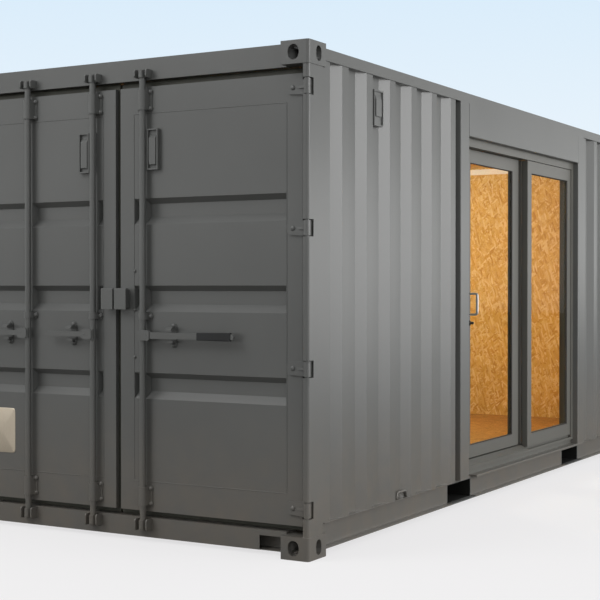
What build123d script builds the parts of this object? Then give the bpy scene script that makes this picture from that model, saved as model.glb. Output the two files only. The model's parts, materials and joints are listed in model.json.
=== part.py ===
"""Shipping container cabin: a 20 ft steel container with its cargo doors, its four corners of
castings and posts, and a glazed sliding door let into one long side, lined with board inside.

Frame: millimetres, +X along the length, -X the cargo door end, -Y the long side with the sliding
door, +Z up, origin at the middle of the footprint on the ground.
"a" is a depth measured inwards from the cargo door plane, "s" a distance along the side from the
same plane, "b" a distance inwards from the sliding door side plane.
"""
import math
import os

from build123d import *

# ---- envelope of a standard 20 ft container ----
LENGTH = 6058.0
WIDTH = 2438.0
HEIGHT = 2591.0
X_DOOR = -LENGTH / 2
X_END = LENGTH / 2
Y_SIDE = -WIDTH / 2

# ---- corner castings ----
CASTING = Vector(178.0, 162.0, 118.0)
CASTING_WALL = 28.0
CASTING_BACK = 12.0
CASTING_EDGE = 14.0
APERTURE_INSET_X = 102.5
APERTURE_INSET_Y = 89.5
APERTURE_FLAT = (124.0, 63.5)
APERTURE_UPRIGHT = 79.0
APERTURE_END_WIDTH = 64.0
APERTURE_SIDE_WIDTH = 54.0

# ---- corner posts ----
SKIN_INSET = 4.0
POST_PLATE = 6.0
POST_DEPTH = 150.0
POST_NOSE_DEPTH = 70.0
POST_NOSE_WIDTH = 40.0
POST_EDGES = (16.0, 10.0)
POST_WIDTH = 60.0
POST_BOTTOM = CASTING.Z
POST_TOP = HEIGHT - CASTING.Z

# ---- cargo door frame ----
PORTAL_FACE = 58.0
HEADER_BACK = CASTING.X
HEADER_BOTTOM = 2470.0
HEADER_TOP = 2586.0
SILL_TOP = 128.0
SILL_BOTTOM = 22.0
SILL_STOP = 118.0
SILL_NOTCH_TOP = 98.0
SILL_NOTCH_WIDTH = 160.0

# ---- side rails, floor, roof ----
TUBE_WALL = 4.0
RAIL_TOP_BOTTOM = 2508.0
RAIL_TOP_SIZE = 60.0
RAIL_BASE_TOP = 168.0
RAIL_BASE_BOTTOM = 34.0
RAIL_WEB = 42.0
RAIL_PLATE = 4.0
RAIL_FOOT = 10.0
DECK_BOTTOM = 154.0
DECK_TOP = 182.0
DECK_EDGE = 60.0
POCKET_CENTRE = 1055.0
POCKET_WIDTH = 360.0
POCKET_BOTTOM = 40.0
POCKET_TOP = 150.0
POCKET_PLATE = 6.0
STRAP_REACH = 200.0
MEMBER_PITCH = 292.0
MEMBER_COUNT = 19
MEMBER_FLANGE = 45.0
MEMBER_BOTTOM = 46.0
ROOF_SHEET = 2.0
ROOF_WAVE = 18.0
ROOF_PITCH = 209.0
ROOF_OVERLAP = 34.0
ROOF_RIBS = 26
ROOF_RIB_WIDTHS = (136.0, 73.0)
ROOF_RIB_MARGIN = 100.0

# ---- corrugated walls ----
SHEET = 2.0
CREST_INSET = 10.0
SIDE_DEPTH = 36.0
SIDE_PITCH = 280.0
SIDE_CREST = 72.0
SIDE_SLOPE = 68.0
SIDE_FIRST_CREST = 369.0
SIDE_MARGIN = 237.0
SIDE_CRESTS = 19
END_DEPTH = 45.0
END_CREST = 108.0
END_SLOPE = 18.0
END_WAVES = 8
END_POST_REACH = 130.0

# ---- board linings ----
BOARD = 12.0
LINING_FACE = 110.0
LINING_END_FACE = 130.0
CEILING_BOTTOM = 2461.0
TRIM_BAND = (2400.0, 2450.0)
TRIM_THICK = 6.0

# ---- side doorway and its sliding door ----
DOORWAY_POST = 134.0
DOORWAY_LEFT = 2036.0
DOORWAY_RIGHT = 4155.0
DOORWAY_TOP = 2302.0
DOORWAY_DEPTH = LINING_FACE - BOARD
LINTEL_TOP = 2384.0
DOORWAY_EDGE = 6.0
THRESHOLD_TOP = 172.0
THRESHOLD_FOLD = 158.0
FRAME_FRONT = 40.0
FRAME_BACK = 132.0
JAMB = 45.0
HEAD_BOTTOM = 2250.0
TRACK_TOP = 212.0
TRACK_LIP_TOP = 225.0
TRACK_RECESS = 57.0
THRESHOLD_COVER_TOP = 256.0
LEAF_TOP = 2246.0
GLASS_TOP = 2161.0
FIXED_LEAF = {"front": 44.0, "depth": 42.0, "bottom": 244.0, "glass": 331.0, "stiles": (74.0, 74.0)}
SLIDING_LEAF = {"front": 92.0, "depth": 34.0, "bottom": 264.0, "glass": 344.0, "stiles": (183.0, 207.0)}
FIXED_LEAF_START = 3189.0
SLIDING_LEAF_END = 3224.0
INTERLOCK_GROOVE = (3131.0, 3180.0)
INTERLOCK_GROOVE_DEPTH = 20.0
LEAF_GAP = 4.0
LEAF_EDGE = 3.0
GLASS = 20.0
PULL_PLACE = 2256.0
PULL_REACH = 60.0
PULL_BAR = 13.0
PULL_HEIGHTS = (1180.0, 1326.0)

# ---- cargo doors ----
HINGE_AXIS = 22.0
DOOR_FACE = 62.0
DOOR_DEPTH = 50.0
DOOR_EDGE = 70.0
RIGHT_DOOR_FREE = 1206.0
LEFT_DOOR_FREE = WIDTH - 1239.0
DOOR_BOTTOM = 161.0
DOOR_TOP = 2434.0
HINGE_STILE = 92.0
PANEL_END = 1115.0
TOP_PLANK = 142.0
BOTTOM_PLANK = 160.0
DOOR_SHEET = 3.0
GROOVE_DEPTH = 32.0
GROOVE_HEIGHT = 129.0
GROOVE_FLAT = 71.0
GROOVE_LOWER_SLOPE = 40.0
GROOVE_PITCH = 467.0
GROOVE_END_SLOPE = 10.0
RIGHT_GROOVES = [(165.0, 1039.0), (1062.0, 1112.0)]
LEFT_GROOVES = [(165.0, 588.0), (611.0, 1052.0), (1078.0, 1112.0)]
GASKET_FRONT = 90.0
GASKET_BACK = 106.0
GASKET_LIP = 12.0
GASKET_HINGE_LIP = 4.0
GASKET_BAND = 27.0
GASKET_TOP_BAND = 31.0
GASKET_ROUND = 7.0

# ---- hinges ----
HINGE_HEIGHTS = [251.0 + 703.5 * i for i in range(4)]
HINGE_NOTCH_HALF = 43.0
HINGE_LUG = 12.0
HINGE_SIDE_NOTCH = 56.0
PIN_RADIUS = 10.0
KNUCKLE_RADIUS = 17.0
BLADE_HALF = 38.0
BLADE_TIP_HALF = 31.0
BLADE_TIP = 154.0
BLADE_THICK = 12.0
BLADE_CORNER = 12.0
BLADE_WEB = 7.0
FITTING_SIDES = 24
PIN_SIDES = 12

# ---- lock rods ----
ROD_DEPTH = 30.0
ROD_RADIUS = 17.0
ROD_BOTTOM = 62.0
ROD_TOP = 2520.0
CAM_RADIUS = 22.0
CAM_NOSE = 25.0
CAM_TOP_BAND = (2478.0, 2514.0)
CAM_BOTTOM_BAND = (70.0, 118.0)
KEEPER_GAP = 33.0
KEEPER_LUG = 8.0
RIGHT_ROD = 1036.0
LEFT_INNER_ROD = WIDTH - 1372.0
LEFT_OUTER_ROD = WIDTH - 1833.0
HANDLE_HEIGHT = 1106.0
HANDLE_FRONT = 7.0
HANDLE_THICK = 10.0
GRIP_PAD = 3.0
CLAMP_HALF = 28.0
CLAMP_REACH = 60.0
CLAMP_PLATE = 5.0
CLAMP_PIN = 40.0
RIGHT_HANDLE = {"length": 590.0, "root": 36.0, "tip": 30.0}
LEFT_HANDLE = {"length": 315.0, "root": 30.0, "tip": 24.0}
GRIP_SPAN = (363.0, 570.0)
GRIP_HALVES = (17.0, 22.0)
BRACKET_HEIGHTS = (245.0, 1206.0, 2360.0)
BRACKET_SIZES = (110.0, 46.0, 116.0)

# ---- ventilators of the cargo doors ----
VENT_WIDTH = 70.0
VENT_FLANGE = 106.0
VENT_HEIGHTS = (1988.0, 2206.0)


def block(x_span, y_span, z_span):
    """A plain box between the given coordinates."""
    spans = (x_span, y_span, z_span)
    sizes = [high - low for low, high in spans]
    middles = [(low + high) / 2 for low, high in spans]
    return Pos(*middles) * Box(*sizes)


def upright(points, bottom, top):
    """A plan outline, drawn in X and Y, raised from bottom to top."""
    outline = make_face(Plane.XY.offset(bottom) * Polyline(*points, close=True))
    return extrude(outline, top - bottom, dir=(0, 0, 1))


def along_x(points, start, stop):
    """A section drawn in Y and Z, carried along X."""
    outline = make_face(Plane.YZ.offset(start) * Polyline(*points, close=True))
    return extrude(outline, stop - start, dir=(1, 0, 0))


def along_y(points, start, stop):
    """A section drawn in X and Z, carried along Y."""
    outline = make_face(Plane.XZ.offset(-start) * Polyline(*points, close=True))
    return extrude(outline, stop - start, dir=(0, 1, 0))


def rod(x, y, bottom, top, radius):
    """A round bar standing upright."""
    return Pos(x, y, (bottom + top) / 2) * Cylinder(radius, top - bottom)


def prism(x, y, bottom, top, radius, sides, bore=False):
    """An upright many-sided bar; as a bore it clears a round bar of that radius."""
    outline = Pos(x, y, bottom) * RegularPolygon(radius, sides, major_radius=not bore)
    return extrude(outline, top - bottom, dir=(0, 0, 1))


def slot_outline(length, width, steps=6):
    """The outline of a slot with its two round ends in a few straight steps, long along V."""
    radius, reach = width / 2, (length - width) / 2
    turns = [math.pi * i / steps for i in range(steps + 1)]
    upper = [(radius * math.cos(turn), reach + radius * math.sin(turn)) for turn in turns]
    return upper + [(-across, -along) for across, along in upper]


def round_corner(corner, inward, radius, steps=3):
    """Points that round a square corner of a plan outline, from its X face to its Y face."""
    turns = [math.pi / 2 * i / steps for i in range(steps + 1)]
    return [(corner[0] + inward[0] * radius * (1 - math.cos(turn)),
             corner[1] + inward[1] * radius * (1 - math.sin(turn))) for turn in turns]


def mirrored(solid):
    """The same piece on the other long side."""
    return mirror(solid, about=Plane.XZ)


def flipped(solid):
    """The same piece at the other end."""
    return mirror(solid, about=Plane.YZ)


def save(node, *solids):
    """Write the solids of one node to its own file."""
    pieces = [piece for shape in solids for piece in shape.solids()]
    shape = pieces[0] if len(pieces) == 1 else Compound(children=pieces)
    shape.label = node
    export_step(shape, f"parts/{node}.step")


# ---------------------------------------------------------------- castings and posts

def corner_casting():
    """The casting at the cargo door end, sliding door side, foot of the container."""
    size = CASTING
    corner = reversed(round_corner((0, 0), (1, 1), CASTING_EDGE))
    shell = upright([*corner, (0, size.Y), (size.X, size.Y), (size.X, 0)], 0, size.Z)
    shell -= block((CASTING_WALL, size.X - CASTING_BACK), (CASTING_WALL, size.Y - CASTING_BACK),
                   (CASTING_WALL, size.Z - CASTING_WALL))
    flat_slot = SlotOverall(*APERTURE_FLAT)
    shell -= Pos(APERTURE_INSET_X, APERTURE_INSET_Y, -1) * extrude(flat_slot, CASTING_WALL + 2)
    end_slot = [(APERTURE_INSET_Y + across, size.Z / 2 + along)
                for across, along in slot_outline(APERTURE_UPRIGHT, APERTURE_END_WIDTH)]
    shell -= along_x(end_slot, -1, CASTING_WALL + 1)
    side_slot = [(APERTURE_INSET_X + across, size.Z / 2 + along)
                 for across, along in slot_outline(APERTURE_UPRIGHT, APERTURE_SIDE_WIDTH)]
    shell -= along_y(side_slot, -1, CASTING_WALL + 1)
    return Pos(X_DOOR, Y_SIDE, 0) * shell


def corner_castings():
    """All eight castings, each turned so that its apertures face outwards."""
    foot = corner_casting()
    head = Pos(0, 0, HEIGHT) * mirror(foot, about=Plane.XY)
    near = [foot, head]
    side_pair = near + [mirrored(piece) for piece in near]
    return side_pair + [flipped(piece) for piece in side_pair]


def door_end_post():
    """The hinge post: a deep nose in front of a box section, notched at each hinge."""
    def shaft(offset, bottom, top):
        front = X_DOOR + SKIN_INSET + offset
        outer = Y_SIDE + SKIN_INSET + offset
        inner = Y_SIDE + POST_NOSE_WIDTH - offset
        step = X_DOOR + POST_NOSE_DEPTH + offset
        back = X_DOOR + POST_DEPTH - offset
        ease = offset * 0.6
        outer_corner = reversed(round_corner((front, outer), (1, 1), POST_EDGES[0] - ease))
        inner_corner = round_corner((front, inner), (1, -1), POST_EDGES[1] - ease)
        return upright([*outer_corner, *inner_corner, (step, inner), (step, Y_SIDE + POST_WIDTH - offset),
                        (back, Y_SIDE + POST_WIDTH - offset), (back, outer)], bottom, top)

    post = shaft(0, POST_BOTTOM, POST_TOP) - shaft(POST_PLATE, POST_BOTTOM - 1, POST_TOP + 1)
    nose_width = (Y_SIDE, Y_SIDE + POST_NOSE_WIDTH)
    for height in HINGE_HEIGHTS:
        low, high = height - HINGE_NOTCH_HALF, height + HINGE_NOTCH_HALF
        lug = shaft(0, low - HINGE_LUG, high + HINGE_LUG)
        post += lug & block((X_DOOR, X_DOOR + POST_NOSE_DEPTH + POST_PLATE), nose_width, (0, HEIGHT))
        post -= block((X_DOOR, X_DOOR + HINGE_SIDE_NOTCH), nose_width, (low, high))
        post -= block((X_DOOR, X_DOOR + POST_NOSE_DEPTH),
                      (Y_SIDE + SKIN_INSET + POST_PLATE, Y_SIDE + POST_NOSE_WIDTH), (low, high))
        post += prism(X_DOOR + HINGE_AXIS, Y_SIDE + HINGE_AXIS, low - HINGE_LUG / 2, high + HINGE_LUG / 2,
                      PIN_RADIUS, PIN_SIDES)
    return post


def blind_end_post():
    """The plain corner post at the closed end, a pressed corner section."""
    def section(offset):
        outer_x = X_END - SKIN_INSET - offset
        outer_y = Y_SIDE + SKIN_INSET + offset
        inner_x = X_END - POST_WIDTH + offset
        inner_y = Y_SIDE + POST_WIDTH - offset
        reach_x = X_END - END_POST_REACH + offset
        reach_y = Y_SIDE + END_POST_REACH - offset
        return [(outer_x, outer_y), (outer_x, reach_y), (inner_x, reach_y), (inner_x, inner_y),
                (reach_x, inner_y), (reach_x, outer_y)]

    post = upright(section(0), POST_BOTTOM, POST_TOP)
    return post - upright(section(POST_PLATE), POST_BOTTOM - 1, POST_TOP + 1)


# ---------------------------------------------------------------- end frames and rails

def door_header():
    """The box beam over the cargo doors."""
    reach = WIDTH / 2 - CASTING.Y
    front, back = X_DOOR + PORTAL_FACE, X_DOOR + HEADER_BACK
    beam = block((front, back), (-reach, reach), (HEADER_BOTTOM, HEADER_TOP))
    return beam - block((front + TUBE_WALL, back - TUBE_WALL), (-reach - 1, reach + 1),
                        (HEADER_BOTTOM + TUBE_WALL, HEADER_TOP - TUBE_WALL))


def door_sill():
    """The sill beam, stepped behind as the stop of the doors, notched beside each casting."""
    reach = WIDTH / 2 - CASTING.Y

    def section(offset):
        front, back = X_DOOR + PORTAL_FACE + offset, X_DOOR + POST_DEPTH - offset
        stop = X_DOOR + SILL_STOP + offset
        return [(front, SILL_BOTTOM + offset), (front, SILL_TOP - offset), (stop, SILL_TOP - offset),
                (stop, DECK_BOTTOM - offset), (back, DECK_BOTTOM - offset), (back, SILL_BOTTOM + offset)]

    beam = along_y(section(0), -reach, reach) - along_y(section(TUBE_WALL), -reach - 1, reach + 1)
    for side in (-1, 1):
        ends = sorted((side * (reach + 1), side * (reach - SILL_NOTCH_WIDTH)))
        beam -= block((X_DOOR, X_DOOR + PORTAL_FACE + TUBE_WALL), ends, (0, SILL_NOTCH_TOP))
    return beam


def blind_end_rails():
    """The top tube and the bottom channel of the closed end."""
    reach = WIDTH / 2 - CASTING.Y
    front, back = X_END - SKIN_INSET, X_END - SKIN_INSET - RAIL_TOP_SIZE
    top = block((back, front), (-reach, reach), (RAIL_TOP_BOTTOM, HEADER_TOP))
    top -= block((back + TUBE_WALL, front - TUBE_WALL), (-reach - 1, reach + 1),
                 (RAIL_TOP_BOTTOM + TUBE_WALL, HEADER_TOP - TUBE_WALL))
    web = (back, back + RAIL_PLATE)
    base = block(web, (-reach, reach), (SILL_BOTTOM, DECK_BOTTOM))
    base += block((back, front), (-reach, reach), (SILL_BOTTOM, SILL_BOTTOM + RAIL_PLATE))
    base += block((back, front), (-reach, reach), (DECK_BOTTOM - RAIL_PLATE, DECK_BOTTOM))
    return [top, base]


def top_side_rail():
    """The square tube over the long wall."""
    reach = LENGTH / 2 - CASTING.X
    low, high = Y_SIDE + SKIN_INSET, Y_SIDE + SKIN_INSET + RAIL_TOP_SIZE
    tube = block((-reach, reach), (low, high), (RAIL_TOP_BOTTOM, RAIL_TOP_BOTTOM + RAIL_TOP_SIZE))
    return tube - block((-reach - 1, reach + 1), (low + TUBE_WALL, high - TUBE_WALL),
                        (RAIL_TOP_BOTTOM + TUBE_WALL, RAIL_TOP_BOTTOM + RAIL_TOP_SIZE - TUBE_WALL))


def bottom_side_rail():
    """The channel under the long wall, in three lengths with the fork pockets between them."""
    outer, web, inner = Y_SIDE + SKIN_INSET + 4, Y_SIDE + RAIL_WEB, Y_SIDE + RAIL_WEB + RAIL_PLATE
    section = [(outer, RAIL_BASE_BOTTOM), (outer, RAIL_BASE_BOTTOM + RAIL_FOOT), (web, RAIL_BASE_BOTTOM + RAIL_FOOT),
               (web, RAIL_BASE_TOP - RAIL_PLATE), (outer, RAIL_BASE_TOP - RAIL_PLATE), (outer, RAIL_BASE_TOP),
               (inner, RAIL_BASE_TOP), (inner, RAIL_BASE_BOTTOM)]
    reach = LENGTH / 2 - CASTING.X
    gap = POCKET_WIDTH / 2 + POCKET_PLATE
    spans = [(-reach, -POCKET_CENTRE - gap), (-POCKET_CENTRE + gap, POCKET_CENTRE - gap),
             (POCKET_CENTRE + gap, reach)]
    return [along_x(section, start, stop) for start, stop in spans]


def fork_pockets():
    """The plates of the two pockets that run through under the floor: webs, then tops and straps."""
    edge = WIDTH / 2 - SKIN_INSET - 4
    web_edge = WIDTH / 2 - RAIL_WEB
    webs, plates = [], []
    for centre in (-POCKET_CENTRE, POCKET_CENTRE):
        low, high = centre - POCKET_WIDTH / 2, centre + POCKET_WIDTH / 2
        for start in (low - POCKET_PLATE, high):
            webs.append(block((start, start + POCKET_PLATE), (-web_edge, web_edge),
                              (RAIL_BASE_BOTTOM, DECK_BOTTOM)))
        plates.append(block((low, high), (-web_edge, web_edge), (POCKET_TOP, DECK_BOTTOM)))
        for start, stop in ((-edge, -edge + STRAP_REACH), (edge - STRAP_REACH, edge)):
            plates.append(block((low, high), (start, stop), (RAIL_BASE_BOTTOM, POCKET_BOTTOM)))
    return webs, plates


def pocket_aprons():
    """The strip of side rail that closes the wall over each fork pocket."""
    strips = []
    reach = POCKET_WIDTH / 2 + POCKET_PLATE
    for centre in (-POCKET_CENTRE, POCKET_CENTRE):
        strips.append(block((centre - reach, centre + reach),
                            (Y_SIDE + RAIL_WEB, Y_SIDE + RAIL_WEB + RAIL_PLATE), (DECK_BOTTOM, RAIL_BASE_TOP)))
    return strips


def floor_members():
    """Cross members under the floor: a row of channels, left out where the fork pockets run."""
    reach = WIDTH / 2 - RAIL_WEB - RAIL_PLATE
    members = []
    first = -MEMBER_PITCH * (MEMBER_COUNT - 1) / 2
    for i in range(MEMBER_COUNT):
        x = first + MEMBER_PITCH * i
        if abs(abs(x) - POCKET_CENTRE) < POCKET_WIDTH / 2 + MEMBER_FLANGE + POCKET_PLATE:
            continue
        channel = block((x, x + RAIL_PLATE), (-reach, reach), (MEMBER_BOTTOM, DECK_BOTTOM))
        for bottom in (MEMBER_BOTTOM, DECK_BOTTOM - RAIL_PLATE):
            channel += block((x, x + MEMBER_FLANGE), (-reach, reach), (bottom, bottom + RAIL_PLATE))
        members.append(channel)
    return members


# ---------------------------------------------------------------- sheets

def ribbon(path, thickness):
    """A folded strip: the path, then the same path moved inwards by the thickness."""
    return path + [(along, depth + thickness) for along, depth in reversed(path)]


def casting_corners():
    """The room that the four top castings take out of the corners of the walls."""
    corners = []
    for side_x in (-1, 1):
        for side_y in (-1, 1):
            x_span = sorted((side_x * LENGTH / 2, side_x * (LENGTH / 2 - CASTING.X)))
            y_span = sorted((side_y * WIDTH / 2, side_y * (WIDTH / 2 - CASTING.Y)))
            corners.append(block(x_span, y_span, (POST_TOP, HEIGHT)))
    return corners


def side_fold(start, stop):
    """The folded line of a side wall between two distances along the side, as (s, depth)."""
    crest, valley = CREST_INSET, CREST_INSET + SIDE_DEPTH
    short_slope = SIDE_DEPTH
    path = [(POST_DEPTH, crest), (SIDE_MARGIN, crest), (SIDE_MARGIN + short_slope, valley)]
    for i in range(SIDE_CRESTS):
        rise = SIDE_FIRST_CREST + SIDE_PITCH * i
        path += [(rise - SIDE_SLOPE, valley), (rise, crest), (rise + SIDE_CREST, crest),
                 (rise + SIDE_CREST + SIDE_SLOPE, valley)]
    path += [(LENGTH - SIDE_FIRST_CREST - SIDE_SLOPE, valley), (LENGTH - SIDE_FIRST_CREST, crest),
             (LENGTH - END_POST_REACH, crest)]
    inside = [point for point in path if start < point[0] < stop]

    def depth_at(s):
        for (s0, d0), (s1, d1) in zip(path, path[1:]):
            if s0 <= s <= s1:
                return d0 + (d1 - d0) * (s - s0) / (s1 - s0)
        raise ValueError(s)

    return [(start, depth_at(start))] + inside + [(stop, depth_at(stop))]


def side_wall(start, stop):
    """A length of folded side wall, between the bottom rail and the top rail."""
    outline = [(X_DOOR + s, Y_SIDE + depth) for s, depth in ribbon(side_fold(start, stop), SHEET)]
    return upright(outline, RAIL_BASE_TOP, RAIL_TOP_BOTTOM) - casting_corners()


def blind_end_wall():
    """The closed end: deeper and squarer folds than the sides."""
    half_run = WIDTH / 2 - END_POST_REACH
    wave = 2 * END_SLOPE + 2 * END_CREST
    margin = half_run - (END_WAVES * wave - END_CREST) / 2
    path = [(-half_run, CREST_INSET)]
    for i in range(END_WAVES):
        start = -half_run + margin + wave * i
        path += [(start, CREST_INSET), (start + END_SLOPE, CREST_INSET + END_DEPTH),
                 (start + END_SLOPE + END_CREST, CREST_INSET + END_DEPTH),
                 (start + 2 * END_SLOPE + END_CREST, CREST_INSET)]
    path.append((half_run, CREST_INSET))
    outline = [(X_END - depth, y) for y, depth in ribbon(path, SHEET)]
    return upright(outline, DECK_BOTTOM, RAIL_TOP_BOTTOM) - casting_corners()


def roof_rib(x, reach, base, height, spread):
    """A raised rib across the roof: its long sides slope in X, its ends in Y."""
    foot, crown = (width / 2 + spread for width in ROOF_RIB_WIDTHS)
    end = reach + spread
    sides = along_y([(x - foot, base), (x + foot, base), (x + crown, base + height),
                     (x - crown, base + height)], -end, end)
    ends = along_x([(-end, base), (end, base), (end - foot + crown, base + height),
                    (-end + foot - crown, base + height)], x - foot, x + foot)
    return sides & ends


def roof():
    """The roof sheet, lying on the top side rails, with ribs pressed up across it."""
    base = RAIL_TOP_BOTTOM + RAIL_TOP_SIZE
    end = LENGTH / 2 - CASTING.X
    edge = WIDTH / 2 - SKIN_INSET - RAIL_TOP_SIZE + ROOF_OVERLAP
    places = [ROOF_PITCH * (i - (ROOF_RIBS - 1) / 2) for i in range(ROOF_RIBS)]
    sheet = block((-end, end), (-edge, edge), (base, base + ROOF_SHEET))
    sheet += [roof_rib(x, edge - ROOF_RIB_MARGIN, base, ROOF_WAVE + ROOF_SHEET, ROOF_SHEET) for x in places]
    return sheet - [roof_rib(x, edge - ROOF_RIB_MARGIN, base, ROOF_WAVE, 0) for x in places]


# ---------------------------------------------------------------- floor and linings

def floor_deck():
    edge = WIDTH / 2 - DECK_EDGE
    return block((X_DOOR + SILL_STOP, X_END - LINING_END_FACE + BOARD), (-edge, edge), (DECK_BOTTOM, DECK_TOP))


def side_linings():
    """Boards on the long sides: the whole far side, and both sides of the side doorway."""
    x_start, x_stop = X_DOOR + POST_DEPTH, X_END - LINING_END_FACE
    heights = (DECK_TOP, CEILING_BOTTOM)
    near = (Y_SIDE + LINING_FACE - BOARD, Y_SIDE + LINING_FACE)
    far = (-near[1], -near[0])
    return [block((x_start, x_stop), far, heights),
            block((x_start, X_DOOR + DOORWAY_LEFT), near, heights),
            block((X_DOOR + DOORWAY_RIGHT, x_stop), near, heights)]


def end_lining():
    edge = WIDTH / 2 - LINING_FACE + BOARD
    return block((X_END - LINING_END_FACE, X_END - LINING_END_FACE + BOARD), (-edge, edge),
                 (DECK_TOP, CEILING_BOTTOM))


def ceiling_lining():
    edge = WIDTH / 2 - LINING_FACE + BOARD
    return block((X_DOOR + HEADER_BACK, X_END - LINING_END_FACE + BOARD), (-edge, edge),
                 (CEILING_BOTTOM, CEILING_BOTTOM + BOARD))


def jamb_lining():
    """The board that closes the gap between the hinge post and the side lining."""
    return block((X_DOOR + POST_DEPTH, X_DOOR + POST_DEPTH + BOARD),
                 (Y_SIDE + POST_WIDTH - POST_PLATE, Y_SIDE + LINING_FACE - BOARD), (DECK_TOP, CEILING_BOTTOM))


def doorway_head_lining():
    """The board over the side doorway, between the two side linings."""
    return block((X_DOOR + DOORWAY_LEFT, X_DOOR + DOORWAY_RIGHT), (Y_SIDE + DOORWAY_DEPTH, Y_SIDE + LINING_FACE),
                 (DOORWAY_TOP, CEILING_BOTTOM))


def end_trim():
    edge = WIDTH / 2 - LINING_FACE
    face = X_END - LINING_END_FACE
    return block((face - TRIM_THICK, face), (-edge, edge), TRIM_BAND)


# ---------------------------------------------------------------- side doorway

def doorway_posts():
    """The two steel posts beside the side doorway, as hollow sections with rounded edges."""
    posts = []
    floor = block((X_DOOR, X_END), (Y_SIDE + DECK_EDGE, 0), (0, DECK_TOP))
    for start, foot in ((DOORWAY_LEFT - DOORWAY_POST, RAIL_BASE_TOP), (DOORWAY_RIGHT, THRESHOLD_TOP)):
        span = (X_DOOR + start, X_DOOR + start + DOORWAY_POST)
        depth = (Y_SIDE, Y_SIDE + DOORWAY_DEPTH)
        post = block(span, depth, (foot, RAIL_TOP_BOTTOM))
        post = fillet(post.edges().filter_by(Axis.Z).group_by(Axis.Y)[0], DOORWAY_EDGE)
        post -= block((span[0] + TUBE_WALL, span[1] - TUBE_WALL), (depth[0] + TUBE_WALL, depth[1] - TUBE_WALL),
                      (foot - 1, RAIL_TOP_BOTTOM + 1))
        posts.append(post - floor)
    return posts


def doorway_lintel():
    """The beam over the side doorway with the flat plate that reaches up to the top rail."""
    span = (X_DOOR + DOORWAY_LEFT, X_DOOR + DOORWAY_RIGHT)
    beam = block(span, (Y_SIDE, Y_SIDE + DOORWAY_DEPTH), (DOORWAY_TOP, LINTEL_TOP))
    lower_edge = beam.edges().filter_by(Axis.X).sort_by(lambda edge: edge.center().Y + edge.center().Z)[0]
    beam = fillet(lower_edge, DOORWAY_EDGE)
    beam -= block((span[0] - 1, span[1] + 1), (Y_SIDE + TUBE_WALL, Y_SIDE + DOORWAY_DEPTH - TUBE_WALL),
                  (DOORWAY_TOP + TUBE_WALL, LINTEL_TOP - TUBE_WALL))
    return beam + block(span, (Y_SIDE, Y_SIDE + TUBE_WALL), (LINTEL_TOP, RAIL_TOP_BOTTOM))


def doorway_sill():
    """The folded threshold plate on the bottom rail, from the fork pocket to beyond the right post."""
    section = [(Y_SIDE, THRESHOLD_FOLD), (Y_SIDE, THRESHOLD_TOP), (Y_SIDE + DECK_EDGE, THRESHOLD_TOP),
               (Y_SIDE + DECK_EDGE, RAIL_BASE_TOP), (Y_SIDE + TUBE_WALL, RAIL_BASE_TOP),
               (Y_SIDE + TUBE_WALL, THRESHOLD_FOLD)]
    pocket_end = -POCKET_CENTRE + POCKET_WIDTH / 2 + POCKET_PLATE
    plate = along_x(section, pocket_end, X_DOOR + DOORWAY_RIGHT + DOORWAY_POST)
    corner = plate.edges().filter_by(Axis.X).sort_by(lambda edge: edge.center().Y - edge.center().Z)[0]
    return fillet(corner, TUBE_WALL - 1)


def sliding_frame_jambs():
    jambs = []
    for start in (DOORWAY_LEFT, DOORWAY_RIGHT - JAMB):
        jambs.append(block((X_DOOR + start, X_DOOR + start + JAMB), (Y_SIDE + FRAME_FRONT, Y_SIDE + FRAME_BACK),
                           (TRACK_TOP, HEAD_BOTTOM)))
    return jambs


def sliding_frame_tracks():
    """The head and the sill of the sliding door: the sill stands back under its front lip, and a
    sloped cover in front of the sliding leaf leads the rain down to that lip."""
    span = (X_DOOR + DOORWAY_LEFT, X_DOOR + DOORWAY_RIGHT)
    depth = (Y_SIDE + FRAME_FRONT, Y_SIDE + FRAME_BACK)
    head = block(span, depth, (HEAD_BOTTOM, DOORWAY_TOP))
    front, recess, back = Y_SIDE + FRAME_FRONT, Y_SIDE + TRACK_RECESS, Y_SIDE + FRAME_BACK
    deck = Y_SIDE + DECK_EDGE
    section = [(recess, THRESHOLD_TOP), (recess, TRACK_TOP - 6), (front, TRACK_TOP - 6), (front, TRACK_TOP),
               (back, TRACK_TOP), (back, DECK_TOP), (deck, DECK_TOP), (deck, THRESHOLD_TOP)]
    sill = along_x(section, *span)
    between_jambs = (span[0] + JAMB, span[1] - JAMB)
    sill += block(between_jambs, (front, front + 3), (TRACK_TOP, TRACK_LIP_TOP))
    sill += block(between_jambs, (back - 1, back + 1.5), (DECK_TOP, THRESHOLD_COVER_TOP + 14))
    fixed_middle = Y_SIDE + FIXED_LEAF["front"] + FIXED_LEAF["depth"] / 2
    sill += block((X_DOOR + FIXED_LEAF_START, between_jambs[1]), (fixed_middle - 3, fixed_middle + 3),
                  (TRACK_TOP, FIXED_LEAF["bottom"]))
    cover = [(front + 5, TRACK_TOP), (front + 5, TRACK_LIP_TOP + 4),
             (Y_SIDE + SLIDING_LEAF["front"], THRESHOLD_COVER_TOP), (back - 10, THRESHOLD_COVER_TOP),
             (back - 10, TRACK_TOP)]
    sill += along_x(cover, between_jambs[0], X_DOOR + FIXED_LEAF_START - LEAF_GAP)
    return [head, sill]


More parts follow.
